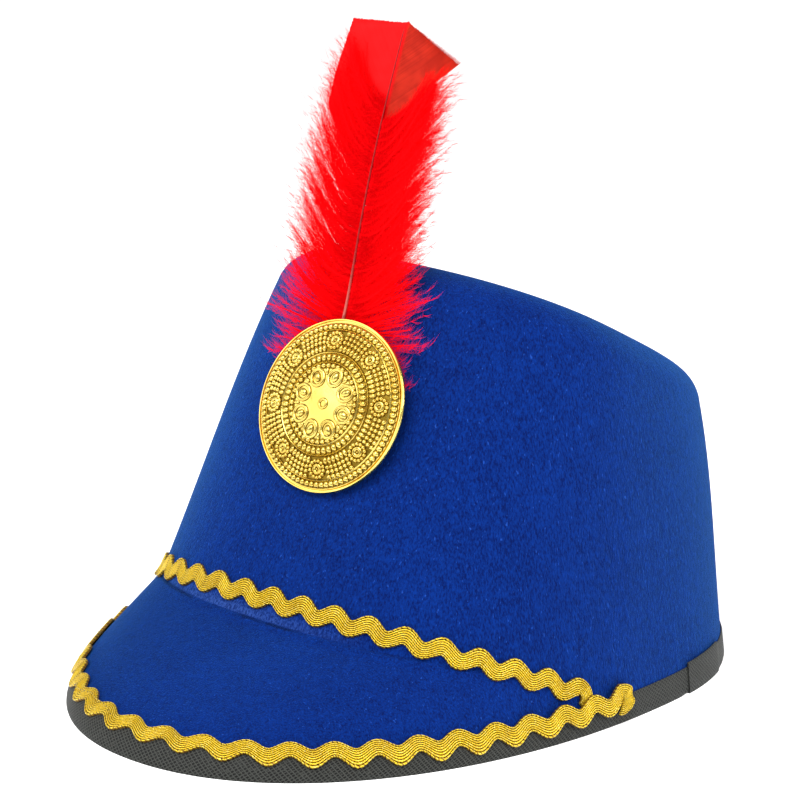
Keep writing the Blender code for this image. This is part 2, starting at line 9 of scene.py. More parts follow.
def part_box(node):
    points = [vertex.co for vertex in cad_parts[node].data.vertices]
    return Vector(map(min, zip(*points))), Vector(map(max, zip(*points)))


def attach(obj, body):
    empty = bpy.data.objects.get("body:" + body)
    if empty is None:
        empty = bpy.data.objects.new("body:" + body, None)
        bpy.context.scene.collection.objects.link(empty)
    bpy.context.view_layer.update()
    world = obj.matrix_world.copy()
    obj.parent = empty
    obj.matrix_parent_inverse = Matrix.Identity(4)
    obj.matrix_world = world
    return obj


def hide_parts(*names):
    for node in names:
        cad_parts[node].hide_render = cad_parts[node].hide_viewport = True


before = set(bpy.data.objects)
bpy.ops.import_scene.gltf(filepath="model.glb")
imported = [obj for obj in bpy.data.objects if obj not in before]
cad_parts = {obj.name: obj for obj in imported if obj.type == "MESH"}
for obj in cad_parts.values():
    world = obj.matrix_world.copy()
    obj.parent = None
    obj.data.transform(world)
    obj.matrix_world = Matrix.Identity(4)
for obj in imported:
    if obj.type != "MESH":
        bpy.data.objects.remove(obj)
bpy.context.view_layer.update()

# Camera. The hat is seen from the wearer's left of the front and from slightly above, through a
# long lens that is turned a touch clockwise.
VIEW_AZIMUTH = radians(38.15)
VIEW_HEIGHT = radians(15.25)
VIEW_ROLL = radians(2.36)
VIEW_DISTANCE = 1.030
VIEW_AIM = Vector((0, 0.0316, 0.0631))
VIEW_SHIFT_RIGHT = -0.0165
VIEW_SHIFT_UP = 0.0196
LENS = 140.0


def direction(azimuth, height):
    """Out from the hat. Azimuth 0 is the front, and a quarter turn is the wearer's left."""
    return Vector((sin(azimuth) * cos(height), -cos(azimuth) * cos(height), sin(height)))


towards = direction(VIEW_AZIMUTH, VIEW_HEIGHT)
level = Vector((cos(VIEW_AZIMUTH), sin(VIEW_AZIMUTH), 0))
upright = towards.cross(level)
view_right = level * cos(VIEW_ROLL) + upright * sin(VIEW_ROLL)
view_up = upright * cos(VIEW_ROLL) - level * sin(VIEW_ROLL)
stand_point = VIEW_AIM + towards * VIEW_DISTANCE + view_right * VIEW_SHIFT_RIGHT + view_up * VIEW_SHIFT_UP
bpy.ops.object.camera_add(location=stand_point)
camera = bpy.context.object
camera.name = "camera"
camera.data.lens = LENS
camera.data.sensor_width = 36
turned = Matrix((view_right, view_up, towards)).transposed().to_4x4()
camera.matrix_world = Matrix.Translation(stand_point) @ turned
bpy.context.scene.camera = camera


# Floor and light. A pale studio table with no edge in view, a broad soft light above and in
# front, a weaker one from each side, and white walls all round.
class Shade:
    """A socket in a material. Arithmetic on it adds Math nodes, and node() adds any other node."""

    def __init__(self, tree, socket=None):
        self.tree = tree
        self.socket = socket

    def node(self, kind, settings=None, inputs=None, output=0):
        made = self.tree.nodes.new("ShaderNode" + kind)
        for name, value in (settings or {}).items():
            setattr(made, name, value)
        for name, value in (inputs or {}).items():
            if isinstance(value, Shade):
                self.tree.links.new(value.socket, made.inputs[name])
            elif hasattr(value, "__len__") and len(made.inputs[name].default_value) > len(value):
                made.inputs[name].default_value = (*value, 1)
            else:
                made.inputs[name].default_value = value
        return Shade(self.tree, made.outputs[output])

    def maths(self, operation, *values):
        return self.node("Math", {"operation": operation}, dict(enumerate(values)))

    def __add__(self, other):
        return self.maths("ADD", self, other)

    __radd__ = __add__

    def __mul__(self, other):
        return self.maths("MULTIPLY", self, other)

    __rmul__ = __mul__

    def __sub__(self, other):
        return self.maths("SUBTRACT", self, other)

    def __rsub__(self, other):
        return self.maths("SUBTRACT", other, self)

    def __truediv__(self, other):
        return self.maths("DIVIDE", self, other)

    def sine(self):
        return self.maths("SINE", self)

    def size(self):
        return self.maths("ABSOLUTE", self)

    def part(self):
        return self.maths("FRACT", self)

    def step(self, low, high):
        """Rises smoothly from 0 at low to 1 at high."""
        inputs = {"Value": self, "From Min": low, "From Max": high}
        return self.node("MapRange", {"interpolation_type": "SMOOTHSTEP"}, inputs)

    def blend(self, first, second):
        """The first colour where this is 0 and the second where it is 1."""
        settings = {"data_type": "RGBA"}
        return self.node("Mix", settings, {0: self, 6: first, 7: second}, 2)

    def places(self):
        """Points on the piece in metres."""
        return self.node("TexCoord", output=3)

    def pattern(self):
        """Points of the piece's own pattern map."""
        return self.node("UVMap", {"uv_map": "pattern"})

    def axes(self):
        split = self.tree.nodes.new("ShaderNodeSeparateXYZ")
        self.tree.links.new(self.socket, split.inputs[0])
        return [Shade(self.tree, output) for output in split.outputs]

    def scaled(self, x, y, z):
        return self.node("Mapping", None, {"Vector": self, "Scale": (x, y, z)})

    def grain(self, scale, detail=2.0, roughness=0.5):
        """Cloudy noise at these points, about 0 to 1."""
        inputs = {"Vector": self, "Scale": scale, "Detail": detail, "Roughness": roughness}
        return self.node("TexNoise", None, inputs)

    def bump(self, depth):
        """A normal from this height, with depth in metres for a height of 1."""
        return self.node("Bump", None, {"Height": self, "Distance": depth, "Strength": 1.0})


def new_material(name, **constants):
    """A material, its shader and a start for its nodes. Constants go straight on the sockets."""
    made = bpy.data.materials.new(name)
    made.use_nodes = True
    shader = made.node_tree.nodes["Principled BSDF"]
    for socket, value in constants.items():
        shader.inputs[socket.replace("_", " ")].default_value = value
    return made, shader, Shade(made.node_tree)


def feed(shader, **links):
    for socket, value in links.items():
        value.tree.links.new(value.socket, shader.inputs[socket.replace("_", " ")])


def start(operator, name, **place):
    """Adds a primitive with nothing else selected, and names it."""
    bpy.ops.object.select_all(action="DESELECT")
    operator(**place)
    made = bpy.context.object
    made.name = made.data.name = name
    return made


FLOOR_SIZE = 14
table = start(bpy.ops.mesh.primitive_plane_add, "table", size=FLOOR_SIZE)
table_white, shader, tree = new_material(
    "table_white", Roughness=0.9, Emission_Color=(1, 1, 1, 1), Emission_Strength=0.55)
feed(shader, Base_Color=tree.places().grain(3.0).blend((0.86, 0.86, 0.86), (0.88, 0.88, 0.88)))
table.data.materials.append(table_white)


def soft_light(name, azimuth, height, distance, size, watts):
    """A square soft box that points at the hat."""
    way = direction(azimuth, height)
    bpy.ops.object.light_add(type="AREA", location=VIEW_AIM + way * distance)
    lamp = bpy.context.object
    lamp.name = name
    lamp.data.size = size
    lamp.data.energy = watts
    lamp.rotation_euler = way.to_track_quat("Z", "Y").to_euler()


soft_light("key_light", radians(15), radians(55), 1.3, 0.8, 14)
soft_light("left_light", radians(-42), radians(24), 1.5, 0.9, 5)
soft_light("right_light", radians(115), radians(25), 1.2, 0.6, 6)

walls = bpy.data.worlds.new("white_walls")
walls.use_nodes = True
back_wall = walls.node_tree.nodes["Background"]
back_wall.inputs["Strength"].default_value = 0.5
height = Shade(walls.node_tree).node("TexCoord").axes()[2]
pale = height.step(-0.1, 0.7).blend((0.62, 0.62, 0.62), (1, 1, 1))
walls.node_tree.links.new(pale.socket, back_wall.inputs["Color"])
bpy.context.scene.world = walls
bpy.context.scene.view_settings.view_transform = "Standard"

# Felt body. Crown and peak are one shell of 2 mm felt, steamed over a block: a smaller oval top
# set back, a soft crease where the peak springs from the crown, and an edge turned down.
HEAD_HALF_WIDTH = 0.0887
HEAD_FRONT = 0.1046
HEAD_BACK = 0.0879
HEAD_SQUARENESS = 2.5
TOP_HALF_WIDTH = 0.0642
TOP_FRONT = 0.0529
TOP_BACK = 0.0731
TOP_SET_BACK = 0.015
TOP_HEIGHT = 0.1131
TOP_FALL = 0.47
TOP_ROUND = 0.015
TOP_DOME = 0.002
WALL_SWELL = 0.0015
PEAK_REACH = 0.1502
PEAK_SQUARENESS = 2.1
PEAK_SWELL = 0.0006
PEAK_TURN_DOWN = 0.005
TURN_DOWN_LENGTH = 0.0035
CREASE_HEIGHT = 0.0278
CREASE_SIDE_HEIGHT = 0.0032
CREASE_END = radians(82.5)
CREASE_POWER = 0.5
CREASE_ROUND = 0.006
FELT = 0.002
CLEARANCE = 0.0003
TAPE = 0.0008
TAPE_SHEET = 0.0005
EDGE_STEP = 0.0005
FELT_COLUMNS = 256
PEAK_ROWS = 26
BEND_ROWS = 20
WALL_ROWS = 34
ROUND_ROWS = 13
TOP_ROWS = 12
GROOVE_DEPTH = 0.0005
GROOVE_WIDTH = 0.0011
FINE_TURNS = 720

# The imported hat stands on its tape, with its box's middle at the origin.
hat_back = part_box("edge_binding")[1].y
seat = Matrix.Translation((0, hat_back - HEAD_BACK - CLEARANCE - TAPE, CLEARANCE + TAPE))


def power(value, exponent):
    size = abs(value) ** exponent
    return size if value >= 0 else -size


def oval(turn, half_width, front, back, squareness):
    """A squared oval. Turn 0 is the front, and a quarter turn is the wearer's left."""
    reach = front if cos(turn) > 0 else back
    across = half_width * power(sin(turn), 2 / squareness)
    return Vector((across, -reach * power(cos(turn), 2 / squareness), 0))


def foot(turn):
    return oval(turn, HEAD_HALF_WIDTH, HEAD_FRONT, HEAD_BACK, HEAD_SQUARENESS)


def corner(turn):
    at = oval(turn, TOP_HALF_WIDTH, TOP_FRONT, TOP_BACK, HEAD_SQUARENESS)
    at.z = TOP_HEIGHT - TOP_FALL * at.y
    at.y += TOP_SET_BACK
    return at


def top_centre():
    middle = (TOP_BACK - TOP_FRONT) / 2
    return Vector((0, middle + TOP_SET_BACK, TOP_HEIGHT - TOP_FALL * middle + TOP_DOME))


def wall(turn, height):
    low, high = foot(turn), corner(turn)
    return low + (high - low) * (height / high.z)


def swept_height(turn, front, side, end, exponent):
    """A height that is greatest at the front and runs down to the side."""
    from_front = abs(atan2(sin(turn), cos(turn)))
    share = min(from_front / end, 1)
    return side + (front - side) * max(cos(share * pi / 2), 0) ** exponent


def crease(turn):
    return wall(turn, swept_height(turn, CREASE_HEIGHT, CREASE_SIDE_HEIGHT, CREASE_END, CREASE_POWER))


def rim(turn):
    if cos(turn) <= 0:
        return foot(turn)
    return oval(turn, HEAD_HALF_WIDTH, PEAK_REACH, HEAD_BACK, PEAK_SQUARENESS)


def peak_length(turn):
    return (crease(turn) - rim(turn)).length


def peak_point(turn, share):
    """On the peak, from the rim at share 0 to the crease at share 1."""
    low, high = rim(turn), crease(turn)
    full = (rim(turn) - foot(turn)).length / (PEAK_REACH - HEAD_FRONT)
    turned_down = 1 - exp(-share * (high - low).length / TURN_DOWN_LENGTH)
    swell = 4 * share * PEAK_SWELL + turned_down * PEAK_TURN_DOWN
    return low + (high - low) * share + Vector((0, 0, swell * (1 - share) * min(full, 1)))


def bend_reach(length):
    """How far the soft bend runs on each side of the crease, on a peak of this length."""
    return min(CREASE_ROUND, 0.45 * length)


def felt_face(turn, along):
    """On the felt's outer face, so far up the section from the rim."""
    length, bend = peak_length(turn), crease(turn)
    rise = (corner(turn) - foot(turn)).normalized()
    soft = bend_reach(length)
    if along <= length - soft:
        return peak_point(turn, along / length)
    if along >= length + soft:
        return bend + rise * (along - length)
    k = (along - length + soft) / (2 * soft)
    below = peak_point(turn, 1 - soft / length)
    return below * (1 - k) ** 2 + bend * (2 * k * (1 - k)) + (bend + rise * soft) * k ** 2


def face_slopes(turn, along):
    """How the felt's face moves for each radian of turn, and for each metre up the section."""
    step, rise = 0.002, 0.0004
    by_turn = (felt_face(turn + step, along) - felt_face(turn - step, along)) / (2 * step)
    by_along = (felt_face(turn, along + rise) - felt_face(turn, along - rise)) / (2 * rise)
    return by_turn, by_along


def off_felt(turn, along, lift):
    by_turn, by_along = face_slopes(turn, along)
    return felt_face(turn, along) + by_turn.cross(by_along).normalized() * lift


def distances(points):
    """How far each point is along the line through them all."""
    run = [0.0]
    for a, b in zip(points, points[1:]):
        run.append(run[-1] + (b - a).length)
    return run


def even_turns(curve, begin, end, count):
    """Turns from begin to end that are evenly spaced along a curve."""
    fine = [begin + (end - begin) * i / FINE_TURNS for i in range(FINE_TURNS + 1)]
    lengths = distances([curve(t) for t in fine])
    turns = []
    for i in range(count + 1):
        want = lengths[-1] * i / count
        j = min(max(bisect_right(lengths, want) - 1, 0), FINE_TURNS - 1)
        turns.append(fine[j] + (fine[j + 1] - fine[j]) * (want - lengths[j]) / (lengths[j + 1] - lengths[j]))
    return turns


def halfway(turn):
    return (rim(turn) + foot(turn)) / 2


def top_round(turn, count):
    """The rounded corner between the wall and the top."""
    at = corner(turn)
    down = (foot(turn) - at).normalized()
    inward = (top_centre() - at).normalized()
    angle = acos(down.dot(inward))
    first = at + down * (TOP_ROUND / tan(angle / 2))
    last = at + inward * (TOP_ROUND / tan(angle / 2))
    centre = at + (down + inward).normalized() * (TOP_ROUND / sin(angle / 2))
    sweep = pi - angle
    points = []
    for i in range(count):
        a = sin((1 - i / (count - 1)) * sweep) / sin(sweep)
        b = sin(i / (count - 1) * sweep) / sin(sweep)
        points.append(centre + (first - centre) * a + (last - centre) * b)
    return points


def groove(turn, past_crease):
    """Depth of the pressed line where the peak meets the crown, deepest at the front."""
    front = max(cos(turn), 0) ** 0.5
    return GROOVE_DEPTH * front * exp(-(past_crease / GROOVE_WIDTH) ** 2)


def felt_column(turn):
    """One column of the shell's outer face and its distances up from the crease."""
    length = peak_length(turn)
    soft = bend_reach(length)
    alongs = [(length - soft) * (k / PEAK_ROWS) ** 1.2 for k in range(PEAK_ROWS + 1)]
    alongs += [length - soft + 2 * soft * k / BEND_ROWS for k in range(1, BEND_ROWS + 1)]
    points = [off_felt(turn, a, -groove(turn, a - length)) for a in alongs]
    rounded = top_round(turn, ROUND_ROWS)
    foot_of_wall, head_of_wall = points[-1], rounded[0]
    out = face_slopes(turn, length + soft)[0].cross(head_of_wall - foot_of_wall).normalized()
    for k in range(1, WALL_ROWS):
        share = k / WALL_ROWS
        swell = WALL_SWELL * sin(turn) ** 2 * 6.75 * share ** 2 * (1 - share)
        points.append(foot_of_wall.lerp(head_of_wall, share) + out * swell)
    points += rounded
    for k in range(1, TOP_ROWS + 1):
        lift = TOP_DOME * 0.5 * sin(pi * k / TOP_ROWS)
        points.append(rounded[-1].lerp(top_centre(), k / TOP_ROWS) + Vector((0, 0, lift)))
    return points, [r - length for r in distances(points)]


def lay(name, columns, rows, place, pattern):
    """A grid laid over a form: place gives each corner's point, and pattern its place on the map."""
    grid = start(bpy.ops.mesh.primitive_grid_add, name, x_subdivisions=columns, y_subdivisions=rows, size=1)
    mesh = grid.data
    keys = [(round((v.co.x + 0.5) * columns), round((v.co.y + 0.5) * rows)) for v in mesh.vertices]
    mesh.uv_layers.active.name = "pattern"
    for loop, mapped in zip(mesh.loops, mesh.uv_layers.active.data):
        mapped.uv = pattern(*keys[loop.vertex_index])
    for vertex, key in zip(mesh.vertices, keys):
        vertex.co = place(*key)
    return grid


def pick(piece):
    bpy.ops.object.select_all(action="DESELECT")
    piece.select_set(True)
    bpy.context.view_layer.objects.active = piece


def edit(piece):
    pick(piece)
    bpy.ops.object.mode_set(mode="EDIT")
    bpy.ops.mesh.select_all(action="SELECT")


def close_up(piece, gap=0.000002, fill=False):
    """Merges the seams, fills open ends where asked, and turns all faces outwards."""
    edit(piece)
    bpy.ops.mesh.remove_doubles(threshold=gap)
    if fill:
        bpy.ops.mesh.select_all(action="DESELECT")
        bpy.ops.mesh.select_non_manifold(extend=False)
        bpy.ops.mesh.fill_holes(sides=0)
        bpy.ops.mesh.select_all(action="SELECT")
    bpy.ops.mesh.normals_make_consistent(inside=False)
    bpy.ops.object.mode_set(mode="OBJECT")


def smooth(piece, angle=60):
    pick(piece)
    bpy.ops.object.shade_smooth_by_angle(angle=radians(angle))


half_round = even_turns(halfway, 0, pi, FELT_COLUMNS // 2)
round_turns = [-t for t in half_round[::-1]] + half_round[1:]
felt_columns = [felt_column(t) for t in round_turns]
felt_rows = len(felt_columns[0][0]) - 1
shell = lay(
    "felt_shell", FELT_COLUMNS, felt_rows,
    lambda i, j: felt_columns[i][0][j],
    lambda i, j: (round_turns[i] * HEAD_HALF_WIDTH, felt_columns[i][1][j]))
close_up(shell)
wall_thickness = shell.modifiers.new("felt", "SOLIDIFY")
wall_thickness.thickness = FELT
wall_thickness.offset = -1
wall_thickness.use_even_offset = True
outer_count = len(shell.data.vertices)
bpy.context.view_layer.objects.active = shell
bpy.ops.object.modifier_apply(modifier=wall_thickness.name)
for vertex in shell.data.vertices[outer_count:]:
    vertex.co.z = max(vertex.co.z, 0)
smooth(shell)
shell.data.transform(seat)

felt, shader, tree = new_material(
    "napped_felt", Roughness=0.95, Sheen_Weight=0.38, Sheen_Roughness=0.35,
    Sheen_Tint=(0.08, 0.42, 1.0, 1), Specular_IOR_Level=0.08)
points = tree.places()
around, up_felt, _ = tree.pattern().axes()
fibres = points.scaled(1, 1, 0.25).grain(1900, 3, 0.7)
tufts = points.scaled(1, 1, 0.5).grain(420, 2, 0.6)
clouds = points.grain(38, 3, 0.6)
lint = points.scaled(1, 1, 0.22).grain(1500, 1, 0.4).step(0.70, 0.78)
# A paler band at the front, just above the crease and patchy with the fibres.
front_band = (1 - (around + 0.018).size().step(0.004, 0.060)) * up_felt.step(0.0002, 0.0012)
pale_crease_band = front_band * (1 - up_felt.step(0.0015, 0.007)) * (0.2 + 0.8 * fibres.step(0.42, 0.60))
# Painted shade: a dark line along the pressed groove of the crease, broken into patches.
crease_shade_breaks = points.grain(55, 2, 0.5).step(0.40, 0.58)
crease_shade = (1 - around.size().step(0.05, 0.09)) * (1 - up_felt.size().step(0.0002, 0.0010)) * crease_shade_breaks
deep_blue = (0.0006, 0.006, 0.075)
mid_blue = (0.0018, 0.032, 0.26)
pale_blue = (0.020, 0.10, 0.55)
shade_mix = (0.5 + 2.0 * (fibres - 0.5) + 0.45 * (tufts - 0.5) + 0.3 * (clouds - 0.5)).step(0.0, 1.0)
colour = shade_mix.blend(deep_blue, mid_blue)
colour = (lint * 0.6).blend(colour, pale_blue)
colour = (pale_crease_band * 0.36).blend(colour, (0.08, 0.17, 0.52))
# Painted shade darkens the crease line.
colour = (crease_shade * 0.7).blend(colour, (0.0005, 0.003, 0.035))
nap = (fibres * 0.6 + tufts * 0.4).bump(0.0006)
feed(shader, Base_Color=colour, Normal=nap)
shell.data.materials.append(felt)
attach(shell, "root")
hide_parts("felt_body")

# Edge tape. Black non-woven tape is folded over the whole lower edge and glued, and its ends
# overlap behind the peak on the wearer's left.
TAPE_OUTSIDE = 0.0072
TAPE_INSIDE = 0.008
LAP_START = radians(97)
LAP_END = radians(112)
LAP_RISE = 0.0015
TAPE_COLUMNS = 420
TAPE_GAP = 0.0001

tape_run = even_turns(rim, LAP_START, LAP_END + 2 * pi, TAPE_COLUMNS)


def smooth_step(value):
    k = min(max(value, 0), 1)
    return k * k * (3 - 2 * k)


def tape_loop(turn):
    """The tape's folded section, a closed loop: outside leg, underside and inside leg."""
    over = 1 - smooth_step((turn - LAP_END) / radians(3))
    under = smooth_step((turn - 2 * pi - LAP_START + radians(3)) / radians(3))
    near = TAPE_GAP + over * TAPE_SHEET
    far = -FELT - near
    thick = TAPE_SHEET
    top = TAPE_OUTSIDE + over * LAP_RISE
    low = -CLEARANCE - TAPE + under * TAPE * 0.5
    inner_low = min(low + TAPE * 0.9, -CLEARANCE * 0.5)
    rise = felt_face(turn, EDGE_STEP) - felt_face(turn, 0)

    def at_height(lift, z):
        begin = off_felt(turn, 0, lift)
        return begin + rise * ((z - begin.z) / rise.z)

    legs = [top] + [top * k / 9 for k in range(8, 0, -1)]
    inside = [TAPE_INSIDE * k / 5 for k in range(1, 6)]
    return (
        [off_felt(turn, a, near + thick * (0.6 if a == top else 1)) for a in legs]
        + [at_height(near + thick, low * 0.2), at_height(near + thick * 0.5, low)]
        + [at_height(far - thick * 0.5, low), at_height(far - thick, low * 0.2)]
        + [off_felt(turn, a, far - thick) for a in inside]
        + [off_felt(turn, a, far) for a in inside[::-1]]
        + [at_height(far, inner_low), at_height(near, inner_low)]
        + [off_felt(turn, a, near) for a in legs[::-1]])


tape_loops = [tape_loop(t) for t in tape_run]
tape_travel = distances([rim(t) for t in tape_run])
tape_width = [distances(loop + loop[:1]) for loop in tape_loops]
tape_points = len(tape_loops[0])
tape = lay(
    "edge_tape", TAPE_COLUMNS, tape_points,
    lambda i, j: tape_loops[i][(tape_points - j) % tape_points],
    lambda i, j: (tape_travel[i], tape_width[i][tape_points - j]))
close_up(tape, fill=True)
smooth(tape, 40)
tape.data.transform(seat)

black_tape, shader, tree = new_material(
    "embossed_tape", Roughness=0.6, Specular_IOR_Level=0.25, Sheen_Weight=0.04)
run_along, run_across, _ = tree.pattern().axes()
DIAMOND = 0.00165
slant = pi / DIAMOND
lattice = (run_along * slant + run_across * slant * 1.25).sine().size()
lattice = lattice.maths("MINIMUM", lattice, (run_along * slant - run_across * slant * 1.25).sine().size())
fleck = tree.places().grain(1600, 2, 0.6)
diamond = lattice.step(0.22, 0.62)
# The lines between the raised diamonds are painted near black, as shade in the pressed grooves.
colour = (1 - diamond).blend((0.003, 0.003, 0.003), (0.058, 0.062, 0.055))
colour = (diamond * fleck.step(0.50, 0.75) * 0.6).blend(colour, (0.100, 0.106, 0.095))
feed(shader, Base_Color=colour, Normal=(diamond * 0.8 + fleck * 0.25).bump(0.0004))
tape.data.materials.append(black_tape)
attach(tape, "root")
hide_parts("edge_binding")

# Crown braid. A flat band of eight gold cords plaited so that it waves from side to side, sewn
# along the foot of the crown. At each side its end turns down and under the peak's braid.
BRAID_BAND = 0.0058
BRAID_WAVE = 0.0015
BRAID = 0.0010
BRAID_REST = 0.0002
BRAID_RAMP = 0.005
BRAID_SPARE = 0.003
BRAID_DROP = radians(3)
BRAID_CORDS = 8
BRAID_CROSSFALL = 0.5
BRAID_STEP = 0.0005
LINE_TURNS = 700
CROWN_BRAID_FRONT = 0.0348
CROWN_BRAID_SIDE = 0.002
CROWN_BRAID_POWER = 0.76
CROWN_BRAID_PITCH = 0.01195
CROWN_BRAID_CREST = 0.0003
CROWN_BRAID_END = radians(77)
CROWN_BRAID_DROP = 0.0022
# A curled end: its hole, its reach along and square to the braid, and how far it sweeps round
CROWN_BRAID_CURL = (0.0016, 0.0060, 0.0066, radians(125))
PEAK_BRAID_FRONT = 0.0058
PEAK_BRAID_SIDE = 0.0078
PEAK_BRAID_NARROWING = 0.2

braid_reach = BRAID_WAVE + BRAID_BAND / 2


def crown_braid_along(turn):
    height = swept_height(turn, CROWN_BRAID_FRONT, CROWN_BRAID_SIDE, CREASE_END, CROWN_BRAID_POWER)
    return peak_length(turn) + height - crease(turn).z


def peak_braid_along(turn):
    return PEAK_BRAID_SIDE - (PEAK_BRAID_SIDE - PEAK_BRAID_FRONT) * max(cos(turn), 0) ** 2


def crown_braid_lift(turn):
    """Off the felt, and up over the tape where the braid runs down to it."""
    covered = TAPE_OUTSIDE + BRAID_RAMP - crown_braid_along(turn) + braid_reach
    return BRAID_REST + smooth_step(covered / (0.8 * BRAID_RAMP)) * TAPE_SHEET


def across(along, turn):
    """Turn and climb for each metre square across a line on the felt."""
    by_turn, by_along = face_slopes(turn, along(turn))
    step = 0.002
    climb = (along(turn + step) - along(turn - step)) / (2 * step)
    side = by_turn.cross(by_along).cross(by_turn + by_along * climb).normalized()
    tt, ta, aa = by_turn.dot(by_turn), by_turn.dot(by_along), by_along.dot(by_along)
    st, sa = side.dot(by_turn), side.dot(by_along)
    return (st * aa - sa * ta) / (tt * aa - ta * ta), (sa * tt - st * ta) / (tt * aa - ta * ta)


class BraidLine:
    """A line on the felt that a braid is sewn along, measured from its middle in metres."""

    def __init__(self, along, lift, end):
        self.along, self.lift = along, lift
        reach = end * 1.1
        self.turns = even_turns(lambda t: off_felt(t, along(t), lift(t)), -reach, reach, LINE_TURNS)
        run = distances([off_felt(t, along(t), lift(t)) for t in self.turns])
        self.travels = [r - run[-1] / 2 for r in run]
        self.sides = [across(along, t) for t in self.turns]
        self.half = [r for r, t in zip(self.travels, self.turns) if abs(t) <= end][-1]

    def station(self, travel):
        j = min(max(bisect_right(self.travels, travel) - 1, 0), len(self.travels) - 2)
        k = (travel - self.travels[j]) / (self.travels[j + 1] - self.travels[j])
        return j, k, self.turns[j] + (self.turns[j + 1] - self.turns[j]) * k

    def at(self, travel, offset, up):
        """The point so far along the line, so far above it on the felt, and so far off the felt."""
        j, k, turn = self.station(travel)
        by_turn = self.sides[j][0] + (self.sides[j + 1][0] - self.sides[j][0]) * k
        by_along = self.sides[j][1] + (self.sides[j + 1][1] - self.sides[j][1]) * k
        place = self.along(turn) + by_along * offset
        return off_felt(turn + by_turn * offset, max(place, 0), self.lift(turn) + up)


def braid_profile():
    """Across the band from 0 to 1 with heights: eight round cords above, flat below."""
    top = []
    for cord in range(BRAID_CORDS):
        full = 1.0 if cord in (0, BRAID_CORDS - 1) else 0.88
        for k in range(5 if cord == BRAID_CORDS - 1 else 4):
            high = 0.45 + 0.55 * full * sin(pi * k / 4) ** 0.6 if 0 < k < 4 else 0.45
            top.append(((cord + k / 4) / BRAID_CORDS, BRAID * high))
    return [(0, 0.0)] + top + [(1, 0.0), (0.66, 0.0), (0.34, 0.0)]


def braid_strip(name, line, stations):
    """Sews a band along stations, each with its lower and upper edge on the felt and a lift."""
    profile = braid_profile()
    count = len(profile)

    def place(i, j):
        share, high = profile[(count - j) % count]
        low_edge, high_edge, lift = stations[i]
        spot = low_edge.lerp(high_edge, share)
        return line.at(spot.x, spot.y, high + lift)

    def pattern(i, j):
        return i * BRAID_STEP, profile[(count - j) % count][0] * BRAID_CORDS

    strip = lay(name, len(stations) - 1, count, place, pattern)
    close_up(strip, fill=True)
    smooth(strip, 75)
    return strip


def wave_stations(line, first, last, pitch, crest, narrowing):
    """The two edges of the wave from one place along the line to another."""
    count = round((last - first) / BRAID_STEP)
    stations = []
    for i in range(count + 1):
        travel = first + (last - first) * i / count
        phase = 2 * pi * (travel - crest) / pitch
        drawn = 1 - narrowing * cos(line.station(travel)[2]) ** 2
        slope = atan2(-BRAID_WAVE * sin(phase) * 2 * pi / pitch, 1)
        reach = BRAID_BAND / 2 * drawn
        square = Vector((-sin(slope) * BRAID_CROSSFALL, 1 + (cos(slope) - 1) * BRAID_CROSSFALL)) * reach
        middle = Vector((travel, BRAID_WAVE * cos(phase) * drawn))
        stations.append((middle - square, middle + square, 0.0))
    return stations


def curl_stations(middle, hole, along, square, sweep, way, rise, pinch):
    """An end curled down: the lower edge stays at the middle and the upper edge sweeps round it."""
    count = round(sweep * (along + square) / 2 / BRAID_STEP)
    stations = []
    for i in range(1, count + 1):
        angle = sweep * i / count
        turned = Vector((way * sin(angle), cos(angle)))
        full = 1 - pinch * smooth_step(1 - abs(angle - pi / 2) / 0.6)
        outer = Vector((turned.x * along, turned.y * square)) * full
        stations.append((middle + turned * hole, middle + outer, rise * i / count))
    return stations if way > 0 else stations[::-1]


def curled_braid(name, line, pitch, crest, narrowing, curl, drop, rise=0.0, pinch=0.0):
    """A whole braid, waved between the last full humps and curled down at both ends."""
    right, left = (crest + way * int((line.half - way * crest) / pitch) * pitch for way in (-1, 1))
    stations = curl_stations(Vector((right, -drop)), *curl, -1, rise, pinch)
    stations += wave_stations(line, right, left, pitch, crest, narrowing)
    stations += curl_stations(Vector((left, -drop)), *curl, 1, rise, pinch)
    return braid_strip(name, line, stations)


crown_line = BraidLine(crown_braid_along, crown_braid_lift, CROWN_BRAID_END)
crown_braid = curled_braid(
    "gold_crown_braid", crown_line, CROWN_BRAID_PITCH, CROWN_BRAID_CREST, 0,
    CROWN_BRAID_CURL, CROWN_BRAID_DROP)
crown_braid.data.transform(seat)

gold_braid, shader, tree = new_material(
    "gold_metal_yarn", Metallic=0.5, Roughness=0.36, Specular_IOR_Level=0.6)
travel, cord, _ = tree.pattern().axes()
inside = (cord.part() - 0.5).size() * 2
groove_dark = inside.step(0.40, 0.95)
edge_cord = (cord - BRAID_CORDS / 2).size().step(BRAID_CORDS / 2 - 1.25, BRAID_CORDS / 2 - 0.9)
twist = ((travel / 0.0007 + cord * 0.8).part() - 0.5).size() * 2
beading = ((travel / 0.0011 + cord * 0.5).part() - 0.5).size() * 2
metal_fleck = tree.places().grain(1900, 2, 0.7)
patches = tree.places().grain(160, 2, 0.5)
shade_and_bronze = (0.11, 0.036, 0.004)
yellow = (1.0, 0.70, 0.022)
bright = (1.0, 0.84, 0.20)
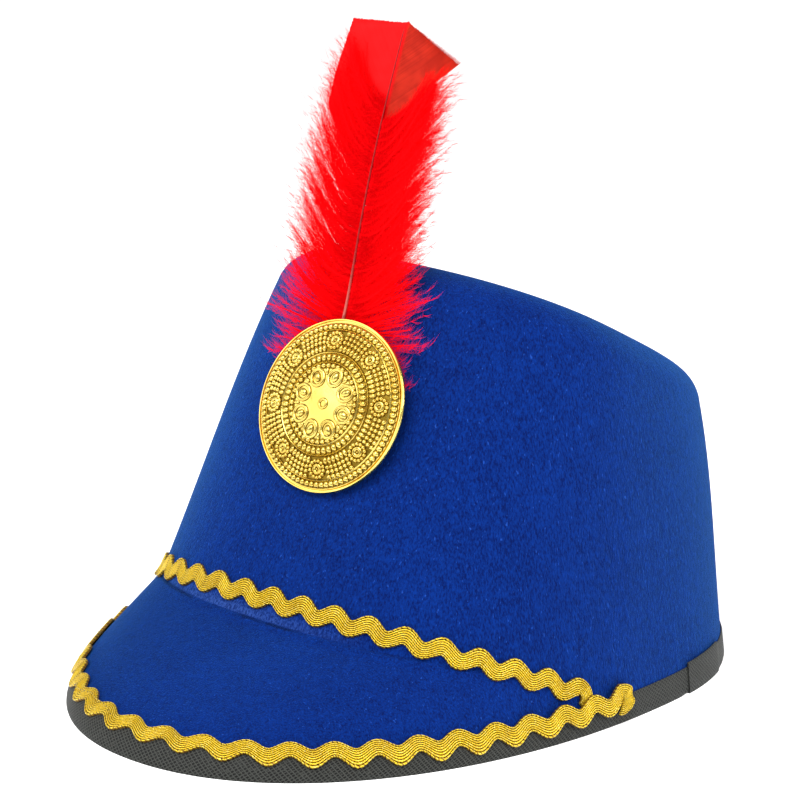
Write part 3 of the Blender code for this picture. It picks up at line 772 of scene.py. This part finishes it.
# Painted shade in the cord grooves, twist dips and edge bead gaps; random flecks add darker metal.
shade_and_fleck_share = groove_dark * 0.62 + edge_cord * beading.step(0.5, 0.9) * 0.7
shade_and_fleck_share = shade_and_fleck_share + metal_fleck.step(0.54, 0.68) * 0.4 + twist.step(0.5, 1.0) * 0.18
colour = shade_and_fleck_share.step(0.0, 1.0).blend(yellow, shade_and_bronze)
colour = (patches.step(0.50, 0.64) * 0.18).blend(colour, (0.36, 0.15, 0.010))
glints = (1 - metal_fleck.step(0.36, 0.46)) * (1 - groove_dark)
colour = glints.blend(colour, bright)
yarn_height = (1 - groove_dark) * 0.5 + (1 - twist) * 0.5
yarn_height = yarn_height + (1 - beading) * edge_cord * 0.8 + metal_fleck * 0.3
feed(shader, Base_Color=colour, Normal=yarn_height.bump(0.00022))
crown_braid.data.materials.append(gold_braid)
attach(crown_braid, "root")
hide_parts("crown_braid")

# Peak braid. The same braid along the peak's edge, over the tape's upper edge and over the crown
# braid's ends. Drawn out round the front it is narrower there, and each end is curled to a knob.
PEAK_BRAID_PITCH = 0.01324
PEAK_BRAID_CREST = 0.0078
PEAK_BRAID_END = radians(87)
PEAK_BRAID_DROP = 0.0006
PEAK_BRAID_CURL = (0.0002, 0.0068, 0.0048, radians(208))
PEAK_CURL_RISE = BRAID * 0.5
PEAK_CURL_PINCH = 0.24


def peak_braid_lift(turn):
    space = crown_braid_along(turn) - peak_braid_along(turn) - 2 * braid_reach - BRAID_SPARE
    over = smooth_step(1 - space / BRAID_RAMP)
    past_end = smooth_step((abs(turn) - CROWN_BRAID_END) / BRAID_DROP - 1)
    return TAPE_SHEET + BRAID_REST + over * (1 - past_end) * BRAID


peak_line = BraidLine(peak_braid_along, peak_braid_lift, PEAK_BRAID_END)
peak_braid = curled_braid(
    "gold_peak_braid", peak_line, PEAK_BRAID_PITCH, PEAK_BRAID_CREST, PEAK_BRAID_NARROWING,
    PEAK_BRAID_CURL, PEAK_BRAID_DROP, PEAK_CURL_RISE, PEAK_CURL_PINCH)
peak_braid.data.transform(seat)
peak_braid.data.materials.append(gold_braid)
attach(peak_braid, "root")
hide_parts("peak_braid")

# Loose thread. A length of the yellow sewing thread that has worked out and lies over the peak
# braid, at the wearer's right of the front.
THREAD = 0.00017
THREAD_SIDES = 6
THREAD_STATIONS = 48
THREAD_TURNS = (radians(-27), radians(-8))
THREAD_START = -0.0026
THREAD_SWING = 0.0040
THREAD_WOBBLE = 0.0003
THREAD_STEP = 0.0004

thread_first, thread_last = (
    peak_line.travels[bisect_right(peak_line.turns, turn)] for turn in THREAD_TURNS)


def thread_point(share):
    travel = thread_first + (thread_last - thread_first) * share
    offset = THREAD_START + THREAD_SWING * sin(pi * 0.8 * share) + THREAD_WOBBLE * sin(17 * share)
    return peak_line.at(travel, offset, BRAID + THREAD + THREAD_WOBBLE * (1 + sin(11 * share)))


def thread_ring(i, j):
    share = i / THREAD_STATIONS
    spot = thread_point(share)
    ahead = (thread_point(share + 0.01) - spot).normalized()
    aside = ahead.cross(Vector((0, 0, 1))).normalized()
    turn = 2 * pi * j / THREAD_SIDES
    return spot + (aside * cos(turn) + ahead.cross(aside) * sin(turn)) * THREAD


thread = lay(
    "loose_thread_1", THREAD_STATIONS, THREAD_SIDES, thread_ring,
    lambda i, j: (i * THREAD_STEP, 0.2))
close_up(thread, fill=True)
smooth(thread)
thread.data.transform(seat)
thread.data.materials.append(gold_braid)
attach(thread, "root")

# Medallion. A shell of thin gold-coated plastic, pressed with petals, beads, rods and ringed
# bosses round a plain dished middle, and held to the felt by a post behind it.
MEDALLION_SHARE = 0.66
MEDALLION_RADIUS = 0.0278
MEDALLION_DOME = 0.0040
MEDALLION_SHEET = 0.0015
MEDALLION_STAND_OFF = 0.003
MEDALLION_TILT = radians(4.2)
MEDALLION_SIDE = 0.001
MEDALLION_TURN = radians(9.3)
MEDALLION_SEGMENTS = 120
POST_RADIUS = 0.003
BOSSES = 8
BOSS_RING = 0.735
RAISED_LINES = (0.475, 0.592, 0.862)


def medallion_frame():
    """Its back plane's centre, right, up and outward."""
    at = wall(0, MEDALLION_SHARE * corner(0).z)
    rise = (corner(0) - foot(0)).normalized()
    out = Vector((1, 0, 0)).cross(rise)
    up = rise * cos(MEDALLION_TILT) + out * sin(MEDALLION_TILT)
    middle = at + out * MEDALLION_STAND_OFF + Vector((MEDALLION_SIDE, 0, 0))
    return middle, Vector((1, 0, 0)), up, Vector((1, 0, 0)).cross(up)


def dome(share):
    return MEDALLION_DOME * max(1 - (share / 0.94) ** 2, 0)


def face_height(share):
    """The pressed face without its beads: a plain dish, raised lines and a flat rim."""
    base = MEDALLION_SHEET + dome(share)
    if share < 0.2:
        return base - 0.0005 * (1 - (share / 0.2) ** 2)
    for line in RAISED_LINES:
        if abs(share - line) < 0.013:
            return base + 0.0006 * cos((share - line) / 0.013 * pi / 2)
    return base


def lathe(name, profile, segments):
    """Turns a profile of radius and height by extruding a circle ring by ring."""
    radius, height = profile[0]
    made = start(
        bpy.ops.mesh.primitive_circle_add, name, vertices=segments, radius=radius, location=(0, 0, height))
    edit(made)
    for (r0, h0), (r1, h1) in zip(profile, profile[1:]):
        bpy.ops.mesh.extrude_edges_move(TRANSFORM_OT_translate={"value": (0, 0, h1 - h0)})
        bpy.ops.transform.resize(value=(r1 / r0, r1 / r0, 1), center_override=(0, 0, h1))
    bpy.ops.object.mode_set(mode="OBJECT")
    bpy.ops.object.transform_apply(location=True, rotation=True, scale=True)
    return made


def mark_shade_and_polish(piece, shade_and_polish):
    """Writes shade and polish on the pattern map: 0 in a crevice, painted in shade, and 1 on a crown."""
    for layer in list(piece.data.uv_layers):
        piece.data.uv_layers.remove(layer)
    mapped = piece.data.uv_layers.new(name="pattern").data
    for loop in piece.data.loops:
        mapped[loop.index].uv = (0.5, shade_and_polish(piece.data.vertices[loop.vertex_index].co))


def face_shade_and_polish(at):
    share = hypot(at.x, at.y) / MEDALLION_RADIUS
    on_line = min(abs(share - line) for line in RAISED_LINES) < 0.007
    return 1.0 if share < 0.395 or share > 0.955 or on_line else 0.0


face_shares = [0.004] + [k / 150 for k in range(1, 143)] + [0.958]
back_shares = [0.90, 0.75, 0.6, 0.45, 0.3, 0.15, 0.01]
medallion_profile = [(MEDALLION_RADIUS * s, dome(s)) for s in back_shares[::-1]]
medallion_profile += [
    (MEDALLION_RADIUS * share, height) for share, height in (
        (0.985, 0.0), (1.0, 0.0003), (1.0, MEDALLION_SHEET * 0.8), (0.993, MEDALLION_SHEET),
        (0.982, MEDALLION_SHEET), (0.977, MEDALLION_SHEET * 0.55), (0.965, MEDALLION_SHEET * 0.55))]
medallion_profile += [(MEDALLION_RADIUS * s, face_height(s)) for s in face_shares[::-1]]
medallion = lathe("medallion_face", medallion_profile, MEDALLION_SEGMENTS)
close_up(medallion, fill=True)
mark_shade_and_polish(medallion, face_shade_and_polish)


def on_face(share, turn, sink=0.0):
    """A matrix that sits a bead on the face, its x outwards from the middle."""
    slope = -2 * MEDALLION_DOME * share / 0.94 ** 2 / MEDALLION_RADIUS
    outwards = Vector((1, 0, slope)).normalized()
    normal = Vector((-slope, 0, 1)).normalized()
    turned_frame = Matrix((outwards, Vector((0, 1, 0)), normal)).transposed().to_4x4()
    at = Vector((share * MEDALLION_RADIUS, 0, MEDALLION_SHEET + dome(share) - sink))
    return Matrix.Rotation(turn, 4, "Z") @ Matrix.Translation(at) @ turned_frame


def strew(model, matrices):
    """Copies a model, each copy with its own mesh, and returns the copies."""
    top = max(v.co.z for v in model.data.vertices)
    mark_shade_and_polish(model, lambda at: min(max(at.z / top, 0), 1))
    copies = []
    for matrix in matrices:
        copy = model.copy()
        copy.data = model.data.copy()
        copy.data.transform(matrix)
        bpy.context.scene.collection.objects.link(copy)
        copies.append(copy)
    bpy.data.objects.remove(model)
    return copies


millimetre = 0.001


def stretch(piece, long, wide, high):
    edit(piece)
    bpy.ops.transform.resize(value=(long, wide, high), center_override=(0, 0, 0))
    bpy.ops.object.mode_set(mode="OBJECT")
    return piece


def bead(length, width, height, segments=8):
    """A round bead that lies on the face, in millimetres from its middle."""
    made = start(
        bpy.ops.mesh.primitive_uv_sphere_add, "bead", segments=segments, ring_count=6, radius=millimetre)
    return stretch(made, length, width, height)


def ring_of(name, radius, thick, long=1.0):
    """A raised ring, in millimetres."""
    made = start(
        bpy.ops.mesh.primitive_torus_add, name, major_segments=24, minor_segments=8,
        major_radius=radius * millimetre, minor_radius=thick * millimetre)
    return stretch(made, long, 1, 1)


def join(first, others):
    pick(first)
    for other in others:
        other.select_set(True)
    bpy.ops.object.join()


# Rings of beads all round: share of the radius, count, shift, and a bead's length, width, height
BEAD_RINGS = (
    (0.437, 40, 0.0, 0.86, 0.98, 1.05),
    (0.535, 48, 0.5, 1.35, 0.96, 1.05),
    (0.908, 84, 0.0, 1.15, 1.02, 1.0),
)
# Rows between the bosses: share of the radius, gap in degrees, and a bead's length and width
BEAD_ROWS = (
    (0.650, 4.9, 1.40, 0.80),
    (0.722, 4.4, 0.82, 0.82),
    (0.774, 4.4, 0.82, 0.84),
    (0.829, 4.4, 0.90, 0.92),
)
ROW_BEADS = 6
BOSS_BEADS = 13
BOSS_BEAD_RING = 2.62

boss_gap = 2 * pi / BOSSES
boss_turns = [MEDALLION_TURN + boss_gap * b for b in range(BOSSES)]
petal_turns = [t + boss_gap / 2 for t in boss_turns]
ornaments = []
for share, count, shift, length, width, high in BEAD_RINGS:
    ring = [on_face(share, 2 * pi * (k + shift) / count) for k in range(count)]
    ornaments += strew(bead(length, width, high), ring)
for share, gap, length, width in BEAD_ROWS:
    aside = [radians(gap * (k - (ROW_BEADS - 1) / 2)) for k in range(ROW_BEADS)]
    row = [on_face(share, t + a) for t in petal_turns for a in aside]
    ornaments += strew(bead(length, width, 1.05), row)
boss_beads = []
for k in range(BOSS_BEADS):
    out_from_boss = Matrix.Translation((BOSS_BEAD_RING * millimetre, 0, 0))
    boss_beads.append(Matrix.Rotation(2 * pi * k / BOSS_BEADS, 4, "Z") @ out_from_boss)
round_bosses = [on_face(BOSS_RING, t) @ b for t in boss_turns for b in boss_beads]
ornaments += strew(bead(0.74, 0.76, 1.05), round_bosses)
ornaments += strew(ring_of("boss", 1.20, 0.72), [on_face(BOSS_RING, t) for t in boss_turns])
ornaments += strew(bead(0.42, 0.42, 0.62, 10), [on_face(BOSS_RING, t) for t in boss_turns])
ornaments += strew(ring_of("petal", 2.45, 0.62, 1.10), [on_face(0.318, t) for t in petal_turns])
ornaments += strew(bead(1.85, 1.25, 0.95, 14), [on_face(0.325, t) for t in petal_turns])
ornaments += strew(bead(1.35, 0.62, 0.75, 10), [on_face(0.372, t) for t in boss_turns])
ornaments += strew(ring_of("dimple_ring", 1.40, 0.55), [on_face(0, 0, 0.0005)])
post_length = MEDALLION_STAND_OFF + MEDALLION_DOME
ornaments += strew(
    start(bpy.ops.mesh.primitive_cylinder_add, "post", vertices=24, radius=POST_RADIUS, depth=post_length),
    [Matrix.Translation((0, 0, MEDALLION_DOME + 0.0005 - post_length / 2))])
join(medallion, ornaments)
centre, right, up, out = medallion_frame()
medallion.data.transform(Matrix.Translation(centre) @ Matrix((right, up, out)).transposed().to_4x4())
smooth(medallion, 50)
medallion.data.transform(seat)

gilt, shader, tree = new_material("gold_coated_plastic", Metallic=1.0)
wear = tree.places().grain(700, 3, 0.6)
tarnish = tree.places().grain(120, 2, 0.5)
shade_and_polish = tree.pattern().axes()[1]
crown_gold = tarnish.step(0.35, 0.7).blend((0.84, 0.66, 0.17), (0.70, 0.50, 0.10))
# Painted shade: crevices and the plate between the beads are dark gold, and crowns keep the bright gold.
colour = shade_and_polish.step(0.0, 0.62).blend((0.30, 0.19, 0.022), crown_gold)
feed(shader, Base_Color=colour, Roughness=0.34 - shade_and_polish * 0.2 + wear * 0.12, Normal=wear.bump(0.00006))
medallion.data.materials.clear()
medallion.data.materials.append(gilt)
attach(medallion, "root")
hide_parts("medallion")

# Feather. A dyed body feather: a stem, a closed flat vane at the squared tip, and soft down all
# the way along both sides, held behind the medallion.
FEATHER_LENGTH = 0.108
FEATHER_HALF_WIDTH = 0.030
FEATHER_LEAN = radians(12)
FEATHER_BEND = 0.008
FEATHER_SIDE = -0.0045
FEATHER_BOW = 0.0025
FEATHER_TIP_SIDE = 0.003
FEATHER_FOOT = 0.35
FEATHER_THICK = 0.001
QUILL_BASE_RADIUS = 0.001
DOWN_BARBS = 400
BARBULES = 150
WISPS = 260
WISP_BARBULES = 60
HAIRS = 9
BARB_STEPS = 6
BARB_LIFT = 0.0006
DOWN_BARB = 0.00042
WISP = 0.00005
DOWN_FOOT = 0.15
SPARSE_FOOT = 0.13

# Reach of the down from the stem as shares of the half width, and the rise of its tips
DOWN_ROWS = (
    # share, left, right, rise
    (-0.03, 0.60, 0.86, -0.04),
    (0.04, 0.84, 1.00, -0.01),
    (0.10, 0.98, 0.98, 0.05),
    (0.20, 0.96, 0.88, 0.13),
    (0.33, 0.98, 0.86, 0.16),
    (0.45, 0.96, 0.86, 0.17),
    (0.57, 0.90, 0.82, 0.18),
    (0.69, 0.80, 0.78, 0.17),
    (0.80, 0.62, 0.62, 0.12),
)


def feather_base():
    centre, _, up, _ = medallion_frame()
    return centre.z + up.z * (POST_RADIUS + FEATHER_FOOT * MEDALLION_RADIUS)


def shaft(share):
    """The stem's axis: held close to the crown by the medallion, then nearly upright."""
    centre, _, up, _ = medallion_frame()
    rise = corner(0) - foot(0)
    steep, easy = rise.y / rise.z, tan(FEATHER_LEAN)
    z = feather_base() + FEATHER_LENGTH * cos(FEATHER_LEAN) * share
    turn_z = centre.z + up.z * MEDALLION_RADIUS
    off = (2 * CLEARANCE + FEATHER_THICK + QUILL_BASE_RADIUS) / cos(atan2(rise.y, rise.z))
    apart = z - turn_z
    bend = (steep - easy) / 2 * sqrt(apart ** 2 + FEATHER_BEND ** 2)
    y = wall(0, turn_z).y - off + (steep + easy) / 2 * apart - bend
    return Vector((FEATHER_SIDE - FEATHER_BOW * sin(pi * share) + FEATHER_TIP_SIDE * share, y, z))


stem_points = [shaft(-0.15 + k * 0.01) for k in range(126)]


def feather_point(share, offset, depth):
    """A place beside the stem: so far along, so far to the wearer's left, so far back."""
    place = (share + 0.15) * 100
    j = min(max(int(place), 1), 123)
    at = stem_points[j].lerp(stem_points[j + 1], place - j)
    along = (stem_points[j + 1] - stem_points[j - 1]).normalized()
    side = Vector((1, 0, 0))
    side = (side - along * side.dot(along)).normalized()
    return at + side * offset + along.cross(side).normalized() * depth


def from_rows(rows, share, column):
    """The value of one column of a table at a share."""
    for low, high in zip(rows, rows[1:]):
        if share <= high[0]:
            k = max((share - low[0]) / (high[0] - low[0]), 0)
            return low[column] + (high[column] - low[column]) * k
    return rows[-1][column]


def strips_mesh(name, faces):
    """One mesh from loose faces, each a list of points, with a place on the pattern map."""
    points = [p for face, _ in faces for p in face]
    indices, number = [], 0
    for face, _ in faces:
        indices.append(tuple(range(number, number + len(face))))
        number += len(face)
    mesh = bpy.data.meshes.new(name)
    mesh.from_pydata(points, [], indices)
    layer = mesh.uv_layers.new(name="pattern")
    for mapped, uv in zip(layer.data, [uv for face, place in faces for uv in place]):
        mapped.uv = uv
    made = bpy.data.objects.new(name, mesh)
    bpy.context.scene.collection.objects.link(made)
    return made


chance = Random(11)


def add_barb(faces, spine, tone, wide, barbules, lengths, flat):
    """A flat barb along its spine, with fine barbules on both sides, longest near its root."""
    steps = len(spine) - 1
    for k in range(steps):
        a, b = spine[k], spine[k + 1]
        half = Vector((0, 0, wide * (1 - (k / steps) ** 2)))
        tip = Vector((0, 0, wide * (1 - ((k + 1) / steps) ** 2)))
        low, high = (tone, k / steps), (tone, (k + 1) / steps)
        faces.append(([a - half, a + half, b + tip, b - tip], [low, low, high, high]))
    for m in range(barbules):
        s = 0.02 + (m + chance.random()) / barbules * 0.98
        k = min(int(s * steps), steps - 1)
        at = spine[k].lerp(spine[k + 1], s * steps - k)
        along = (spine[k + 1] - spine[k]).normalized()
        aside = Vector((-along.z, 0, along.x)) * (1 if m % 2 else -1)
        way = along * chance.uniform(0.4, 1.0) + aside * chance.uniform(0.35, 1.0) + Vector((0, 0, 0.35))
        way += Vector((0, chance.uniform(-0.9, 0.7) * flat, 0))
        length = chance.uniform(*lengths) * (1 - 0.45 * s)
        thin = way.cross(Vector((0.3, 1, 0.2))).normalized() * 0.00006
        root, end = (tone, s), (tone, min(s + 0.15, 1))
        faces.append(([at - thin, at + thin, at + way.normalized() * length], [root, root, end]))


def tuft(share, sign):
    """How far the down reaches here, since its barbs cling together in tufts."""
    rough = sin(share * 97 + sign) + sin(share * 173 + 2 * sign) + 0.7 * sin(share * 311)
    return 1 + 0.045 * rough * (1.0 if share > DOWN_FOOT else 2.6)


def flatness(share):
    """How free the down is in depth: pressed flat behind the medallion, and free above it."""
    return min(max((share + 0.03) / 0.22, 0.12), 1)


def barb_spine(share, sign, fullness, wander):
    """A curved barb from the stem, as long as the down is here, and at its own slope."""
    reach = from_rows(DOWN_ROWS, share, 1 if sign < 0 else 2) * FEATHER_HALF_WIDTH * tuft(share, sign)
    reach *= chance.uniform(*fullness)
    rise = from_rows(DOWN_ROWS, share, 3) * chance.uniform(0.8, 1.3)
    sway = chance.uniform(-0.012, 0.012)
    spread = chance.uniform(-0.004, 0.004) * flatness(share)
    lift = BARB_LIFT + (chance.uniform(-BARB_LIFT, BARB_LIFT) if wander else 0)
    spine = []
    for k in range(BARB_STEPS + 1):
        s = k / BARB_STEPS
        climb = share + rise * s ** 1.5 + sway * sin(pi * s)
        spine.append(feather_point(climb, sign * reach * s ** 0.85, lift + spread * s))
    return spine


# The dense down, then fine single hairs that stand out all round it
down_faces = []
wisp_faces = []
for sign in (-1, 1):
    for n in range(DOWN_BARBS):
        share = -0.03 + (0.74 if sign > 0 else 0.78) * ((n + chance.random()) / DOWN_BARBS) ** 0.9
        if share < SPARSE_FOOT and n % 2:
            continue
        at_foot = share <= DOWN_FOOT
        spine = barb_spine(share, sign, (0.45, 0.95) if at_foot else (0.62, 0.90), wander=True)
        barbules = BARBULES // 2 if at_foot else BARBULES
        tone = chance.random()
        add_barb(down_faces, spine, tone, DOWN_BARB, barbules, (0.0020, 0.0046), flatness(share))
    for n in range(WISPS):
        share = -0.04 + (0.76 if sign > 0 else 0.82) * (n + chance.random()) / WISPS
        flat = flatness(share)
        spine = barb_spine(share, sign, (0.80, 0.96), wander=False)
        add_barb(wisp_faces, spine, chance.random(), WISP, WISP_BARBULES, (0.0012, 0.0030), flat)
        slope = radians(chance.uniform(12, 55))
        for m in range(HAIRS):
            at = spine[-1 - m % 3]
            slope += radians(chance.uniform(-12, 12))
            length = chance.uniform(0.0030, 0.0062)
            way = Vector((sign * cos(slope), chance.uniform(-0.3, 0.3) * flat, sin(slope)))
            bent = way + Vector((0, 0, chance.uniform(0.0, 0.5)))
            mid = at + way * length * 0.55
            tone = chance.random()
            thin = Vector((0, 0, WISP))
            fine = thin * 0.7
            wisp_faces.append(([at - thin, at + thin, mid + fine, mid - fine], [(tone, 0.8)] * 4))
            wisp_faces.append(([mid - fine, mid + fine, mid + bent * length * 0.45], [(tone, 1)] * 3))
down = strips_mesh("feather_down", down_faces)
wisps = strips_mesh("feather_wisps", wisp_faces)

# The emission is a painted red glow over the dyed down.
red_down, shader, tree = new_material(
    "dyed_glowing_down", Roughness=0.85, Specular_IOR_Level=0.0,
    Emission_Color=(1.0, 0.0, 0.0015, 1), Emission_Strength=0.12)
tone, reach, _ = tree.pattern().axes()
shade_puffs = tree.places().grain(60, 2, 0.5)
# Painted shade: the down is darker towards the stem and in soft puffs; each barb's tone also differs at
# random.
shade_mix = 0.25 + tone * 0.2 + shade_puffs.step(0.3, 0.7) * 0.14 + reach * 0.5
colour = shade_mix.step(0.0, 1.0).blend((0.50, 0.0006, 0.003), (1.0, 0.004, 0.006))
feed(shader, Base_Color=colour)
for piece in (down, wisps):
    piece.data.transform(seat)
    piece.data.materials.append(red_down)
    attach(piece, "root")
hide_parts("feather_vane")

# Feather tip. Beyond the down the barbs close into a flat vane, cut square across the top. It is bright
# at the wearer's right, and at the left, where it is notched, it is painted darker and browner as shade.
VANE_BARBS = 170
VANE_BARB = 0.0050
VANE_SLANT = 1.05
VANE_STEPS = 14
TIP_RIGHT_WIDEST = 0.74
TIP_RIGHT_FLARE = 0.08
TIP_RIGHT_FALL = 0.03
TIP_LEFT_WIDEST = 0.97
TIP_LEFT_NARROW = 0.50
TIP_LEFT_NOTCH = 0.865
TIP_LEFT_FALL = 0.09375


def inside_tip(sign, climb, offset):
    """Whether a place is in the tip's outline, in shares of the feather's length and half width."""
    if sign < 0:
        widest = TIP_RIGHT_WIDEST + TIP_RIGHT_FLARE * min(max((1 - climb) / 0.2, 0), 1)
        return offset < widest and climb < 1 - TIP_RIGHT_FALL * offset / TIP_RIGHT_WIDEST
    widest = TIP_LEFT_WIDEST if climb > TIP_LEFT_NOTCH else TIP_LEFT_NARROW
    return offset < widest and climb < 1 - TIP_LEFT_FALL * offset


vane_faces = []
rise = VANE_SLANT * FEATHER_HALF_WIDTH / FEATHER_LENGTH
for sign in (-1, 1):
    for n in range(VANE_BARBS):
        share = 0.48 + 0.518 * n / (VANE_BARBS - 1)
        tone = chance.random()
        end = 0.0
        while end < 1.0 and inside_tip(sign, share + rise * end, end):
            end += 0.004
        end -= chance.uniform(0.0, 0.008)
        points = []
        for k in range(VANE_STEPS + 1):
            offset = max(end, 0.01) * k / VANE_STEPS
            climb = share + rise * offset
            sag = 0.0018 * offset ** 2 + (0.0020 * min(offset / 0.3, 1) if sign > 0 else 0)
            half = VANE_BARB * (1 - 0.75 * (k / VANE_STEPS) ** 6)
            low = feather_point(climb - half, sign * offset * FEATHER_HALF_WIDTH, 0.0012 + sag)
            high = feather_point(climb + half, sign * offset * FEATHER_HALF_WIDTH, 0.0012 + sag + 0.0002)
            points.append((low, high, sign * offset))
        for (l0, h0, s0), (l1, h1, s1) in zip(points, points[1:]):
            vane_faces.append(([l0, h0, h1, l1], [(s0, tone), (s0, tone), (s1, tone), (s1, tone)]))
vane = strips_mesh("feather_tip", vane_faces)
vane.data.transform(seat)

# The emission is a painted red glow over the dyed vane.
red_vane, shader, tree = new_material(
    "dyed_glowing_vane", Roughness=0.6, Specular_IOR_Level=0.1,
    Emission_Color=(1.0, 0.0, 0.002, 1), Emission_Strength=0.06)
aside, tone, _ = tree.pattern().axes()
streak = tree.places().grain(260, 2, 0.5).step(0.3, 0.7) * 0.5 + tone * 0.5
# The half at the wearer's left is painted as a shaded copy of the red, darker and browner.
left_red = streak.blend((0.70, 0.0015, 0.003), (0.90, 0.005, 0.007))
shaded_red = streak.blend((0.36, 0.014, 0.006), (0.60, 0.030, 0.012))
feed(shader, Base_Color=aside.step(-0.01, 0.03).blend(left_red, shaded_red))
vane.data.materials.append(red_vane)
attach(vane, "root")

# Stem. The feather's own shaft, dyed with the rest, painted paler at its foot as a highlight, fine at the
# tip.
STEM_SIDES = 10
STEM_STATIONS = 60
STEM_FOOT_RADIUS = 0.00055
STEM_TIP_RADIUS = 0.00016


def stem_ring(i, j):
    share = -0.01 + 0.99 * i / STEM_STATIONS
    radius = STEM_FOOT_RADIUS + (STEM_TIP_RADIUS - STEM_FOOT_RADIUS) * max(share, 0) ** 0.7
    if i in (0, STEM_STATIONS):
        radius *= 0.5
    turn = -2 * pi * j / STEM_SIDES
    return feather_point(share, radius * cos(turn), radius * sin(turn) - 0.0006 * max(1 - share / 0.3, 0))


stem = lay(
    "feather_stem", STEM_STATIONS, STEM_SIDES, stem_ring,
    lambda i, j: (i / STEM_STATIONS, j / STEM_SIDES))
close_up(stem, fill=True)
smooth(stem)
stem.data.transform(seat)
dyed_stem, shader, tree = new_material("dyed_stem", Roughness=0.4, Specular_IOR_Level=0.4)
share, _, _ = tree.pattern().axes()
blotch = tree.places().grain(900, 2, 0.6)
# The lower part is painted pale pink as a highlight.
colour = share.step(0.08, 0.36).blend((0.62, 0.15, 0.12), (0.30, 0.003, 0.003))
colour = (blotch.step(0.60, 0.68) * 0.6).blend(colour, (0.20, 0.03, 0.018))
feed(shader, Base_Color=colour, Normal=blotch.bump(0.0001))
stem.data.materials.append(dyed_stem)
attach(stem, "root")
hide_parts("feather_quill")
